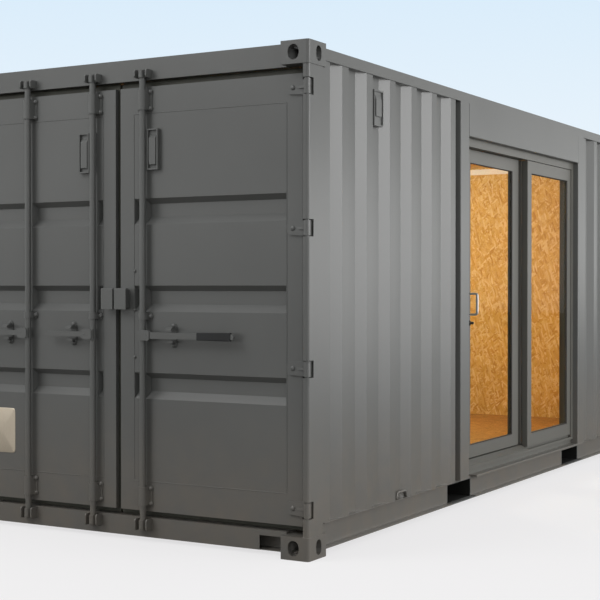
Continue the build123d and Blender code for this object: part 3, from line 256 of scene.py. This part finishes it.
def float_glass(name):
    """A sealed double pane of float glass, nearly colourless, that lets the lamps light the room."""
    material, tree = new_material(name)
    clear = add_node(tree, "ShaderNodeBsdfTransparent", sockets={"Color": linear("#f2f7f5")})
    shine = add_node(tree, "ShaderNodeBsdfGlossy", sockets={"Color": linear("#ffffff"), "Roughness": 0.02})
    # Float glass has an IOR of about 1.5. With that, the stage's horizon shows as a line across the panes.
    edge = add_node(tree, "ShaderNodeFresnel", sockets={"IOR": 1.045})
    # Only the side that light enters by shines: the pane is drawn without bending, so it has no inner mirror.
    side = add_node(tree, "ShaderNodeNewGeometry")
    outer = add_node(tree, "ShaderNodeMath", {"operation": "SUBTRACT"}, {0: 1.0, 1: (side, "Backfacing")})
    share = add_node(tree, "ShaderNodeMath", {"operation": "MULTIPLY"}, {0: (edge, 0), 1: (outer, 0)})
    pane = add_node(tree, "ShaderNodeMixShader", sockets={0: (share, 0), 1: (clear, 0), 2: (shine, 0)})
    add_node(tree, "ShaderNodeOutputMaterial", sockets={"Surface": (pane, 0)})
    return material


def polished_metal(name, colour, roughness):
    """Bright plated or drawn metal with a few rub marks, about 17 mm across."""
    material, tree = new_material(name)
    place = (add_node(tree, "ShaderNodeTexCoord"), "Object")
    rub = add_node(tree, "ShaderNodeTexNoise", sockets={"Vector": place, "Scale": 60.0, "Detail": 4.0})
    sheen = add_node(tree, "ShaderNodeMapRange", sockets={"Value": (rub, "Fac"), "To Min": roughness * 0.7,
                                                          "To Max": roughness * 1.5})
    body = add_node(tree, "ShaderNodeBsdfPrincipled",
                    sockets={"Base Color": colour, "Metallic": 1.0, "Roughness": (sheen, 0)})
    add_node(tree, "ShaderNodeOutputMaterial", sockets={"Surface": (body, 0)})
    return material


def painted_wood(name, colour):
    """Gloss paint brushed on a planed batten, with marks about 25 mm apart."""
    material, tree = new_material(name)
    place = (add_node(tree, "ShaderNodeTexCoord"), "Object")
    brush = add_node(tree, "ShaderNodeTexNoise", sockets={"Vector": place, "Scale": 40.0})
    relief = add_node(tree, "ShaderNodeBump", sockets={"Height": (brush, "Fac"), "Strength": 0.1,
                                                       "Distance": 1 * MM})
    body = add_node(tree, "ShaderNodeBsdfPrincipled",
                    sockets={"Base Color": colour, "Roughness": 0.45, "Normal": (relief, "Normal")})
    add_node(tree, "ShaderNodeOutputMaterial", sockets={"Surface": (body, 0)})
    return material


# ---------------------------------------------------------------- surfaces

def piece(name, grids, material, body, closed=(False, True)):
    """One mesh from a stack of grids of points, shaped (copies, along, around, 3).

    closed says which of the two directions runs round and meets itself; equal points are merged,
    so a ring of no size becomes a pole."""
    copies, along, around, _ = grids.shape
    rows = np.arange(along if closed[0] else along - 1)
    columns = np.arange(around if closed[1] else around - 1)
    row, column = (part.ravel() for part in np.meshgrid(rows, columns, indexing="ij"))
    next_row, next_column = (row + 1) % along, (column + 1) % around
    corners = np.stack([row * around + column, row * around + next_column,
                        next_row * around + next_column, next_row * around + column], axis=1)
    faces = (corners[None] + (np.arange(copies) * along * around)[:, None, None]).reshape(-1, 4)
    mesh = bpy.data.meshes.new(name)
    mesh.from_pydata(grids.reshape(-1, 3).tolist(), [], faces.tolist())
    shape = bmesh.new()
    shape.from_mesh(mesh)
    bmesh.ops.remove_doubles(shape, verts=shape.verts, dist=1e-6)
    bmesh.ops.dissolve_degenerate(shape, edges=shape.edges, dist=1e-6)
    bmesh.ops.recalc_face_normals(shape, faces=shape.faces)
    shape.to_mesh(mesh)
    shape.free()
    mesh.shade_smooth()
    mesh.materials.append(material)
    made = bpy.data.objects.new(name, mesh)
    bpy.context.scene.collection.objects.link(made)
    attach(made, body)
    return made


def basis(normal):
    """Two directions square to a unit normal and to each other: cross products, first with the
    vertical, or with X where the normal is nearly vertical, and then with the normal itself."""
    normal = np.asarray(normal, float)
    helper = np.array([0.0, 0.0, 1.0]) if abs(normal[2]) < 0.9 else np.array([1.0, 0.0, 0.0])
    first = np.cross(helper, normal)
    first /= np.linalg.norm(first)
    return first, np.cross(normal, first)


def turned(places, normal, profile, steps, corners=()):
    """A profile of (radius, height) turned about a normal at every place. The rings named in
    corners follow a hexagon: the radius is divided by the cosine of the angle from the nearest flat."""
    profile = np.asarray(profile, float)
    angle = np.arange(steps) * 2 * np.pi / steps
    first, second = basis(normal)
    flat = (angle + np.pi / 6) % (np.pi / 3) - np.pi / 6
    hexagon = np.cos(np.pi / 6) / np.cos(flat)
    six_sided = np.isin(np.arange(len(profile)), corners)[:, None]
    radius = profile[:, :1] * np.where(six_sided, hexagon[None], 1.0)
    ring = np.cos(angle)[:, None] * first + np.sin(angle)[:, None] * second
    one = radius[..., None] * ring[None] + profile[:, 1][:, None, None] * np.asarray(normal, float)
    return np.asarray(places, float)[:, None, None, :] + one[None]


def bolts(places, normal, width):
    """Hexagon heads on round washers, from the head's width over its flats: a corner lies half that
    width divided by the cosine of 30 degrees from the middle."""
    corner = width / 2 / math.cos(math.pi / 6)
    washer, washer_top, head_top = corner * 1.35, width * 0.12, width * 0.58
    profile = [(0, -1 * MM), (washer, -1 * MM), (washer, washer_top), (corner, washer_top),
               (corner, width * 0.5), (corner * 0.82, head_top), (0, head_top)]
    return turned(places, normal, profile, 12, corners=(3, 4))


def rivets(places, normal, radius):
    """Domed heads, half a radius high: the height falls slowly near the middle and fast at the rim,
    and the foot stands 0.3 of a radius in the plate."""
    out = np.array([0.0, 1.0, 0.97, 0.8, 0.5, 0.0])
    height = np.array([-0.3, -0.3, 0.08, 0.26, 0.42, 0.5])
    return turned(places, normal, np.stack([out, height], axis=1) * radius, 12)


def tube(path, radius, steps=10):
    """A round bar along a path of points, closed at both ends: each ring stands square to the path."""
    path = np.asarray(path, float)
    run = np.gradient(path, axis=0)
    run /= np.linalg.norm(run, axis=1, keepdims=True)
    side = np.cross(run, basis(run[0])[0])
    side /= np.linalg.norm(side, axis=1, keepdims=True)
    other = np.cross(run, side)
    angle = np.arange(steps) * 2 * np.pi / steps
    radii = np.broadcast_to(np.asarray(radius, float), (len(path),)).copy()
    ring = np.cos(angle)[None, :, None] * side[:, None] + np.sin(angle)[None, :, None] * other[:, None]
    body = path[:, None] + radii[:, None, None] * ring
    ends = [np.broadcast_to(path[i], (1, steps, 3)) for i in (0, -1)]
    return np.concatenate([ends[0], body, ends[1]])


def weld(start, stop, radius, pitch=9 * MM):
    """A weld bead: a bar whose radius ripples as the sine of the distance run."""
    start, stop = np.asarray(start, float), np.asarray(stop, float)
    length = np.linalg.norm(stop - start)
    count = max(4, int(length / pitch * 4))
    along = np.linspace(0.0, 1.0, count)
    ripple = radius * (0.86 + 0.14 * np.sin(along * length / pitch * 2 * np.pi))
    return tube(start + along[:, None] * (stop - start), ripple, 6)


def rounded_path(points, reach, steps=6):
    """A path through corner points. Each corner is rounded by a quadratic curve, which starts and
    ends at a given reach from the corner on the two lines that meet there."""
    points = np.asarray(points, float)
    out = [points[:1]]
    for before, corner, after in zip(points, points[1:], points[2:]):
        into = (before - corner) / np.linalg.norm(before - corner)
        away = (after - corner) / np.linalg.norm(after - corner)
        t = np.linspace(0.0, 1.0, steps)[:, None]
        first, last = corner + into * reach, corner + away * reach
        out.append((1 - t) ** 2 * first + 2 * t * (1 - t) * corner + t ** 2 * last)
    out.append(points[-1:])
    return np.concatenate(out)


def pane_ring(x_span, z_span, profile):
    """A ring round a pane: each profile point is an inset from the pane's edge and a place in Y."""
    profile = np.asarray(profile, float)
    inset, depth = profile[:, 0], profile[:, 1]
    x = np.stack([x_span[0] + inset, x_span[1] - inset, x_span[1] - inset, x_span[0] + inset], axis=1)
    z = np.stack([z_span[0] + inset, z_span[0] + inset, z_span[1] - inset, z_span[1] - inset], axis=1)
    return np.stack([x, np.broadcast_to(depth[:, None], x.shape), z], axis=2)


def folded_sheet(path, thickness, start, stop):
    """A sheet folded along Y: its section follows a path in X and Z, with half the thickness on each
    side along the path's normal, and at both ends the two faces close onto the middle line."""
    ahead = np.gradient(path, axis=0)
    normal = np.stack([-ahead[:, 1], ahead[:, 0]], axis=1) / np.linalg.norm(ahead, axis=1)[:, None]
    middle = np.concatenate([path, path[::-1]])
    skin = np.concatenate([path + normal * thickness / 2, (path - normal * thickness / 2)[::-1]])
    rings = ((start, middle), (start, skin), (stop, skin), (stop, middle))
    return np.stack([np.column_stack([ring[:, 0], np.full(len(ring), y), ring[:, 1]]) for y, ring in rings])


def soft_plate(centre, halves, thickness, steps=48):
    """A thin plate facing -X with rounded corners: its outline is a superellipse of the power 14, and
    its rings shrink to a pole at the middle of each face."""
    angle = np.arange(steps) * 2 * np.pi / steps
    power = 2 / 14
    across = halves[0] * np.sign(np.cos(angle)) * np.abs(np.cos(angle)) ** power
    up = halves[1] * np.sign(np.sin(angle)) * np.abs(np.sin(angle)) ** power
    share = np.array([0.0, 0.98, 1.0, 1.0, 0.0])
    depth = np.array([-thickness, -thickness, -thickness * 0.6, 0.0, 0.0])
    rings = np.broadcast_to(depth[:, None], (len(depth), steps))
    grid = np.stack([rings, share[:, None] * across, share[:, None] * up], axis=2)
    return grid + np.asarray(centre, float)


# ---------------------------------------------------------------- places
# LOW and HIGH are in metres, as the frame is. The other places in this section are in millimetres.

LOW, HIGH = (np.array(corner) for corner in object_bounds())
WIDTH = round((HIGH[1] - LOW[1]) / MM)
DOORS_OUT = (-1, 0, 0)
# How far behind the cargo door end's outer plane these faces lie: the doors' frames and panels, the
# feet of the rod brackets, the hinge straps, and the clamps that hold the handles.
DOOR_FACE, BRACKET_FACE, STRAP_FACE, CLAMP_FACE = 62, 56, 50, 2
ROD_PLACES = {"right": 1036, "left_inner": 1372, "left_outer": 1833}
# The height of each rod bracket, and how far above and below it the bolts sit.
BRACKETS = ((245, 41), (1206, 0), (2360, 44))
HINGE_HEIGHTS = [251 + 703.5 * number for number in range(4)]
HANDLE_HEIGHT = 1106


def at(back, inward, up):
    """A point from its distances back from the cargo door end's outer plane, in from the outer plane
    of the sliding door side, and up from the ground."""
    return (LOW[0] + back * MM, LOW[1] + inward * MM, up * MM)


def from_side(side, distance):
    """How far in from the sliding door side a place lies, given its distance from the side of the
    container that a door hinges on."""
    return distance if side == "right" else WIDTH - distance


# ---------------------------------------------------------------- settings

def colour_setting(name, description, hex_colour):
    return FloatVectorProperty(name=name, description=description, subtype="COLOR", size=4, min=0, max=1,
                               default=linear(hex_colour))


class CabinColours(bpy.types.PropertyGroup):
    paint: colour_setting("Paint", "Enamel on the steel", "#606160")
    dust: colour_setting("Dust", "Road dust low on the steel", "#7a6f62")
    seal: colour_setting("Door seal", "Rubber seal of the cargo doors", "#33332b")
    aluminium: colour_setting("Aluminium", "Powder coat on the sliding door", "#5f5e59")
    grip: colour_setting("Grip", "Rubber sleeve of the handle", "#17181a")
    trim: colour_setting("Trim", "White batten on the end wall", "#e6ddd0")
    plate: colour_setting("Data plate", "Bare plate on the left door", "#d9cdbb")
    # Near-black under the floor: partly a bitumen coat, partly painted shade for the shadow there.
    underbody: colour_setting("Underbody", "Coating under the floor", "#141412")
    gasket: colour_setting("Glazing rubber", "Rubber round the panes", "#2a2724")


class CabinSizes(bpy.types.PropertyGroup):
    bolt: FloatProperty(name="Bolt head", description="Width of a bolt head over its flats",
                        default=18 * MM, unit="LENGTH")


def colours():
    return bpy.context.scene.cabin_colours


def sizes():
    return bpy.context.scene.cabin_sizes


def paint(node_names, material):
    """Gives the named nodes one material in every slot."""
    for name in node_names:
        mesh = NODES[name].data
        if not mesh.materials:
            mesh.materials.append(material)
        for i in range(len(mesh.materials)):
            mesh.materials[i] = material


# ---------------------------------------------------------------- operators

class CABIN_OT_paint_steel(bpy.types.Operator):
    """Sprays the steel of the container, its doors and their gear"""
    bl_idname = "cabin.paint_steel"
    bl_label = "Paint the steel"

    def execute(self, context):
        grey = tuple(colours().paint)
        enamel = sprayed_paint(ENAMEL, grey, tuple(colours().dust), 0.27)
        slots = {entry["node"]: entry["material_slot"] for entry in frame["record"]["subparts"]}
        paint([name for name in NODES if slots[name] == "container_paint"], enamel)
        # The near-black between the rails is partly bitumen and partly painted shade for the fork pockets'
        # shadow.
        inside_the_rails = HIGH[1] - 46 * MM
        under = underbody_coat_and_shade("Bituminous underbody coating", grey, tuple(colours().underbody),
                               inside_the_rails)
        paint(["fork_pocket_webs", "fork_pocket_plates", "floor_cross_members"], under)
        return {"FINISHED"}


class CABIN_OT_board_room(bpy.types.Operator):
    """Lines the room with strand board and lays the floor"""
    bl_idname = "cabin.board_room"
    bl_label = "Board the room"

    def execute(self, context):
        tones = [linear(tone) for tone in ("#b58743", "#c79c50", "#d0a85f", "#dfbf8a", "#bf934a")]
        floor_tones = [linear(tone) for tone in ("#8a6534", "#a27742", "#b3874f", "#946d3b")]
        for nodes, name, across, up, board_tones in (
                (["side_wall_linings", "doorway_linings"], "Strand board along the sides", "X", "Z", tones),
                (["end_wall_lining"], "Strand board on the end", "Y", "Z", tones),
                (["ceiling_lining"], "Strand board overhead", "X", "Y", tones),
                (["floor_deck"], "Sealed floor board", "X", "Y", floor_tones)):
            paint(nodes, strand_board(name, across, up, board_tones))
        paint(["end_wall_trim"], painted_wood("White gloss on batten", tuple(colours().trim)))
        return {"FINISHED"}


class CABIN_OT_glaze(bpy.types.Operator):
    """Finishes the sliding door: powder coat, glass and its pull handle"""
    bl_idname = "cabin.glaze"
    bl_label = "Glaze the side doorway"

    def execute(self, context):
        coat = powder_coat("Grey powder coat on aluminium", tuple(colours().aluminium), 0.4)
        paint(["sliding_frame_jambs", "sliding_frame_tracks", "fixed_leaf_frame", "sliding_leaf_frame"], coat)
        paint(["fixed_leaf_glass", "sliding_leaf_glass"], float_glass("Float glass, sealed unit"))
        paint(["sliding_leaf_handle"], polished_metal("Chromed pull handle", linear("#f1f2f2"), 0.38))
        return {"FINISHED"}


class CABIN_OT_seal_doors(bpy.types.Operator):
    """Gives the cargo doors their rubber seals and the handle its grip"""
    bl_idname = "cabin.seal_doors"
    bl_label = "Seal the cargo doors"

    def execute(self, context):
        seal = soft_rubber("Door seal rubber", tuple(colours().seal))
        paint(["right_door_gasket", "left_door_gasket"], seal)
        right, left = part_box("right_door_gasket"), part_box("left_door_gasket")
        inset, top_radius = 8 * MM, 2.6 * MM
        for side, (low, high) in (("right", right), ("left", left)):
            depth, height = low[0] + inset, high[2] + 1.6 * MM
            run = np.linspace((depth, low[1] + inset, height), (depth, high[1] - inset, height), 9)
            piece(f"{side}_top_lip", tube(run, top_radius)[None], seal, f"{side}_cargo_door")
        # Painted shade: dark strips of seal rubber, thin under the header and thicker under the castings,
        # keep the gap above the seals dark where it lies in shadow. Without them the lit room would show
        # through.
        thin, thick = 0.5 * MM, 2.9 * MM
        header_low, header_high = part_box("door_header")
        under_header, under_castings = header_low[2], HIGH[2] - 118 * MM
        header_end, strip_end = header_high[1], 1149 * MM
        before_seal, behind_seal = left[0][0] - 2 * MM, left[0][0] + 24 * MM
        for name, thickness, top, start, stop in (
                ("header_shade_strip", thin, under_header, -header_end, header_end),
                ("right_shade_strip", thick, under_castings, -strip_end, -header_end),
                ("left_shade_strip", thick, under_castings, header_end, strip_end)):
            level = top - thickness / 2
            run = np.linspace((before_seal, level), (behind_seal, level), 5)
            strip = folded_sheet(run, thickness, start, stop)
            piece(name, strip[None], seal, "container").data.shade_flat()
        # Between the doors each seal has its own lip. As a door opens, its lip swings 2 to 3 mm sideways,
        # past the other door's lock box, so neither may fill the gap alone.
        depth, foot, head = right[0][0] + inset, right[0][2] + inset, right[1][2] - inset
        for side, radius, edge, outward in (("right", 2.25 * MM, right[1][1], 1),
                                            ("left", 1.85 * MM, left[0][1], -1)):
            across = edge + outward * radius
            run = np.linspace((depth, across, foot), (depth, across, head), 9)
            piece(f"{side}_meeting_lip", tube(run, radius)[None], seal, f"{side}_cargo_door")
        paint(["right_handle_grip"], soft_rubber("Black grip rubber", tuple(colours().grip)))
        return {"FINISHED"}


class CABIN_OT_bolt_gear(bpy.types.Operator):
    """Bolts the rod brackets and retainers on, and sets the rivets of the hinges and handles"""
    bl_idname = "cabin.bolt_gear"
    bl_label = "Bolt the door gear on"

    def execute(self, context):
        enamel = bpy.data.materials[ENAMEL]
        # Each rod, with the place of its handle's retainer from the rod's middle.
        retainers = {"right": (("right", -183),), "left": (("left_inner", 155), ("left_outer", 155))}
        for side, gear in retainers.items():
            body = f"{side}_cargo_door"
            heads = []
            for rod, retainer in gear:
                middle = ROD_PLACES[rod]
                heads += [at(BRACKET_FACE, middle + across, height + lift) for height, reach in BRACKETS
                          for lift in sorted({-reach, reach}) for across in (-33, 33)]
                heads += [at(BRACKET_FACE, middle + retainer, HANDLE_HEIGHT + lift) for lift in (-52, 52)]
            piece(f"{side}_bracket_bolts", bolts(heads, DOORS_OUT, sizes().bolt), enamel, body)
            domes = [at(STRAP_FACE, from_side(side, 120), height) for height in HINGE_HEIGHTS]
            piece(f"{side}_hinge_rivets", rivets(domes, DOORS_OUT, 14 * MM), enamel, body)
        stile = [at(DOOR_FACE, 1111, height) for height in (986, 1239, 1449)]
        piece("right_stile_bolts", bolts(stile, DOORS_OUT, 12 * MM), enamel, "right_cargo_door")
        for rod, toward_handle in (("right", -1), ("left_inner", 1), ("left_outer", 1)):
            pin = [at(CLAMP_FACE, ROD_PLACES[rod] + toward_handle * 40, HANDLE_HEIGHT)]
            piece(f"{rod}_handle_pin", rivets(pin, DOORS_OUT, 4 * MM), enamel, f"{rod}_lock_gear")
        return {"FINISHED"}


class CABIN_OT_weld_steel(bpy.types.Operator):
    """Runs the weld beads along the door panels, the castings and the doorway posts"""
    bl_idname = "cabin.weld_steel"
    bl_label = "Weld the steel"

    def execute(self, context):
        enamel = bpy.data.materials[ENAMEL]
        for side in ("right", "left"):
            # The panel's edges are 162 and 1115 mm in, and 321 and 2292 mm up.
            near, far = from_side(side, 162), from_side(side, 1115)
            uprights = [(at(DOOR_FACE, inward, 330), at(DOOR_FACE, inward, 2286)) for inward in (near, far)]
            levels = [(at(DOOR_FACE, near, height), at(DOOR_FACE, far, height)) for height in (321, 2292)]
            for kind, runs in (("stile", uprights), ("plank", levels)):
                for number, (start, stop) in enumerate(runs, 1):
                    bead = weld(start, stop, 2.4 * MM)
                    piece(f"{side}_{kind}_weld_{number}", bead[None], enamel, f"{side}_cargo_door")
        # The posts end 118 and 2473 mm up, at the castings. A bead's middle lies 2 mm inside their face.
        bead_depth = 4 + 2
        joints = [(side, height) for height in (118, 2473) for side in ("right", "left")]
        for number, (side, height) in enumerate(joints, 1):
            start, stop = (at(bead_depth, from_side(side, distance), height) for distance in (20, 40))
            piece(f"post_weld_{number}", weld(start, stop, 3.4 * MM)[None], enamel, "container")
        bead = weld(at(1899, 40, 176), at(1899, 40, 2500), 4.5 * MM)
        piece("wall_foot_weld", bead[None], enamel, "container")
        return {"FINISHED"}


class CABIN_OT_close_roof_end(bpy.types.Operator):
    """Lays the folded plate between the roof sheet and the top rail of the closed end"""
    bl_idname = "cabin.close_roof_end"
    bl_label = "Close the roof's end"

    def execute(self, context):
        enamel = bpy.data.materials[ENAMEL]
        roof_low, roof_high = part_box("roof_panel")
        rail_low, rail_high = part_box("blind_end_rails")
        thickness, overlap, clearance = 3 * MM, 18 * MM, 2 * MM
        level = roof_low[2] + clearance + thickness / 2
        upturn = rail_low[0] - thickness / 2
        corners = [(roof_high[0] - overlap, level), (upturn, level), (upturn, rail_high[2] - 3 * MM)]
        casting_width = 163 * MM
        end = HIGH[1] - casting_width
        sheet = folded_sheet(rounded_path(corners, 6 * MM, 5), thickness, -end, end)
        piece("roof_end_plate", sheet[None], enamel, "container").data.shade_flat()
        return {"FINISHED"}


class CABIN_OT_dress_doorway(bpy.types.Operator):
    """Seats the panes in their rubber and adds the lock cylinder under the pull handle"""
    bl_idname = "cabin.dress_doorway"
    bl_label = "Dress the side doorway"

    def execute(self, context):
        rubber = soft_rubber("Glazing rubber", tuple(colours().gasket))
        for leaf, body in (("fixed", "container"), ("sliding", "sliding_leaf")):
            low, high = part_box(f"{leaf}_leaf_glass")
            face, width = low[1], 7 * MM
            profile = [(0.0, face), (0.0, face - 6 * MM), (width * 0.4, face - 7 * MM),
                       (width, face - 2 * MM), (width, face)]
            ring = pane_ring((low[0], high[0]), (low[2], high[2]), profile)
            made = piece(f"{leaf}_pane_rubber", ring[None], rubber, body, closed=(True, True))
            made.data.shade_flat()
        # A rose of 17 mm radius, and a barrel of 9 mm radius that stands 28 mm out.
        profile = [(0, -1), (17, -1), (17, 4), (14, 6), (9, 6), (9, 26), (7, 28), (0, 28)]
        lock = turned([at(2256, 92, 1132)], (0, -1, 0), np.array(profile) * MM, 24)
        # Painted shade: the lock cylinder gets dark metal in place of bright chrome, so that it shows as dark
        # as an unlit lock.
        shaded_lock_metal = polished_metal("Blackened lock cylinder", linear("#3a3936"), 0.4)
        piece("lock_cylinder", lock, shaded_lock_metal, "sliding_leaf")
        return {"FINISHED"}


class CABIN_OT_small_fittings(bpy.types.Operator):
    """Fixes the bare data plate to the left cargo door and the lashing ring to the side rail"""
    bl_idname = "cabin.small_fittings"
    bl_label = "Fix the small fittings"

    def execute(self, context):
        centre = at(DOOR_FACE, 2062, 544)
        halves, thickness, inset = (105 * MM, 128 * MM), 1.5 * MM, 13 * MM
        plate = polished_metal("Anodised data plate", tuple(colours().plate), 0.45)
        piece("data_plate", soft_plate(centre, halves, thickness)[None], plate, "left_cargo_door")
        reach = halves[0] - inset, halves[1] - inset
        corners = [(centre[0] - thickness, centre[1] + across * reach[0], centre[2] + up * reach[1])
                   for across in (-1, 1) for up in (-1, 1)]
        piece("data_plate_rivets", rivets(corners, DOORS_OUT, 4 * MM), plate, "left_cargo_door")
        foot, crown, depth, bend = 166, 205, 22, 22 * MM
        bar = rounded_path([at(1040, depth, foot), at(1046, depth, crown), at(1164, depth, crown),
                            at(1170, depth, foot)], bend, 8)
        piece("lashing_ring", tube(bar, 6 * MM)[None], bpy.data.materials[ENAMEL], "container")
        return {"FINISHED"}


class CABIN_OT_stage(bpy.types.Operator):
    """Sets the pale floor, the soft daylight and the camera"""
    bl_idname = "cabin.stage"
    bl_label = "Set the stage"

    def execute(self, context):
        scene = context.scene
        self.floor(scene)
        self.daylight(scene)
        self.camera(scene)
        scene.view_settings.view_transform = "Standard"
        return {"FINISHED"}

    def floor(self, scene):
        """A flat square of pale floor, dark for the light that bounces off it."""
        half = 60.0
        corners = [(-half, -half, 0), (half, -half, 0), (half, half, 0), (-half, half, 0)]
        mesh = bpy.data.meshes.new("studio_floor")
        mesh.from_pydata(corners, [], [(0, 1, 2, 3)])
        floor = bpy.data.objects.new("studio_floor", mesh)
        scene.collection.objects.link(floor)
        material, tree = new_material("Pale studio floor")
        ray = add_node(tree, "ShaderNodeLightPath")
        dull = add_node(tree, "ShaderNodeBsdfDiffuse", sockets={"Color": linear("#7d7b78")})
        shaded = add_node(tree, "ShaderNodeBsdfDiffuse", sockets={"Color": linear("#f4f4f4")})
        even = add_node(tree, "ShaderNodeEmission", sockets={"Color": linear("#f2f1f2"), "Strength": 1.0})
        pale = add_node(tree, "ShaderNodeMixShader", sockets={0: 0.8, 1: (shaded, 0), 2: (even, 0)})
        both = add_node(tree, "ShaderNodeMixShader",
                        sockets={0: (ray, "Is Camera Ray"), 1: (dull, 0), 2: (pale, 0)})
        add_node(tree, "ShaderNodeOutputMaterial", sockets={"Surface": (both, 0)})
        mesh.materials.append(material)
        floor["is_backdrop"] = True

    def daylight(self, scene):
        """An even sky, three broad soft lamps outside and one lamp in the room."""
        world = bpy.data.worlds.new("Pale sky")
        world.use_nodes = True
        scene.world = world
        tree = world.node_tree
        tree.nodes.clear()
        ray = add_node(tree, "ShaderNodeLightPath")
        direction = (add_node(tree, "ShaderNodeTexCoord"), "Generated")
        split = add_node(tree, "ShaderNodeSeparateXYZ", sockets={"Vector": direction})
        sky = add_node(tree, "ShaderNodeValToRGB", sockets={"Fac": (split, "Z")})
        set_ramp(sky, [(0.0, linear("#f4f5f6")), (0.05, linear("#eef6fc")), (0.22, linear("#d9ecfb"))])
        backdrop = add_node(tree, "ShaderNodeBackground", sockets={"Color": (sky, "Color"), "Strength": 1.0})
        # The light is plain overall, with a brighter band along the horizon for the gloss to pick up.
        level = add_node(tree, "ShaderNodeMapRange", {"interpolation_type": "SMOOTHSTEP"},
                         {"Value": (split, "Z"), "From Min": 0.03, "From Max": 0.15,
                          "To Min": 1.7, "To Max": 0.7})
        even = add_node(tree, "ShaderNodeBackground",
                        sockets={"Color": linear("#f2f3f2"), "Strength": (level, 0)})
        both = add_node(tree, "ShaderNodeMixShader",
                        sockets={0: (ray, "Is Camera Ray"), 1: (even, 0), 2: (backdrop, 0)})
        add_node(tree, "ShaderNodeOutputWorld", sockets={"Surface": (both, 0)})
        for name, kind, size, power, place, aim in (
                ("side_softbox", "AREA", 6.0, 632.0, (-0.4, -11.0, 3.2), (0.0, -1.2, 1.2)),
                ("far_softbox", "AREA", 3.0, 50.0, (7.5, -7.5, 1.5), (0.0, -1.2, 1.3)),
                ("front_softbox", "AREA", 4.0, 236.0, (-8.0, 3.5, 6.5), (-3.0, 0.0, 1.2)),
                ("room_lamp", "POINT", 0.25, 116.0, (0.9, 0.7, 2.05), (0.9, 0.7, 0.0))):
            lamp = bpy.data.lights.new(name, kind)
            if kind == "AREA":
                lamp.size = size
            else:
                lamp.shadow_soft_size = size
            lamp.energy = power
            holder = bpy.data.objects.new(name, lamp)
            holder.location = place
            # No lamp shows as a shape of its own, and only the broad ones show in gloss.
            holder.visible_camera = False
            holder.visible_glossy = kind == "AREA"
            toward = np.array(aim) - np.array(place)
            holder.rotation_mode = "QUATERNION"
            holder.rotation_quaternion = Vector(toward.tolist()).to_track_quat("-Z", "Y")
            scene.collection.objects.link(holder)

    def camera(self, scene):
        """Eye height, off the cargo door corner, looking along the sliding door side."""
        lens = bpy.data.cameras.new("eye")
        lens.sensor_width = 36.0
        lens.lens = 81.5
        camera = bpy.data.objects.new("eye", lens)
        camera.location = (-8.871, -4.523, 1.366)
        turn, tilt = 29.86, -0.57
        camera.rotation_euler = (math.radians(90 + tilt), 0, math.radians(turn - 90))
        scene.collection.objects.link(camera)
        scene.camera = camera


class CABIN_PT_panel(bpy.types.Panel):
    bl_label = "Container cabin"
    bl_idname = "CABIN_PT_panel"
    bl_space_type = "VIEW_3D"
    bl_region_type = "UI"
    bl_category = "Cabin"

    def draw(self, context):
        for group in (context.scene.cabin_colours, context.scene.cabin_sizes):
            for name in group.__annotations__:
                self.layout.prop(group, name)
        for operator in OPERATORS:
            self.layout.operator(operator.bl_idname)


OPERATORS = (CABIN_OT_paint_steel, CABIN_OT_board_room, CABIN_OT_glaze, CABIN_OT_seal_doors,
             CABIN_OT_bolt_gear, CABIN_OT_weld_steel, CABIN_OT_close_roof_end, CABIN_OT_dress_doorway,
             CABIN_OT_small_fittings, CABIN_OT_stage)
CLASSES = (CabinColours, CabinSizes, *OPERATORS, CABIN_PT_panel)


def register():
    for cls in CLASSES:
        bpy.utils.register_class(cls)
    bpy.types.Scene.cabin_colours = PointerProperty(type=CabinColours)
    bpy.types.Scene.cabin_sizes = PointerProperty(type=CabinSizes)


def unregister():
    del bpy.types.Scene.cabin_colours
    del bpy.types.Scene.cabin_sizes
    for cls in reversed(CLASSES):
        bpy.utils.unregister_class(cls)


def main():
    """Runs every step in order."""
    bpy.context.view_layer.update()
    register()
    for operator in OPERATORS:
        group, step = operator.bl_idname.split(".")
        getattr(getattr(bpy.ops, group), step)()


if __name__ == "__main__":
    main()
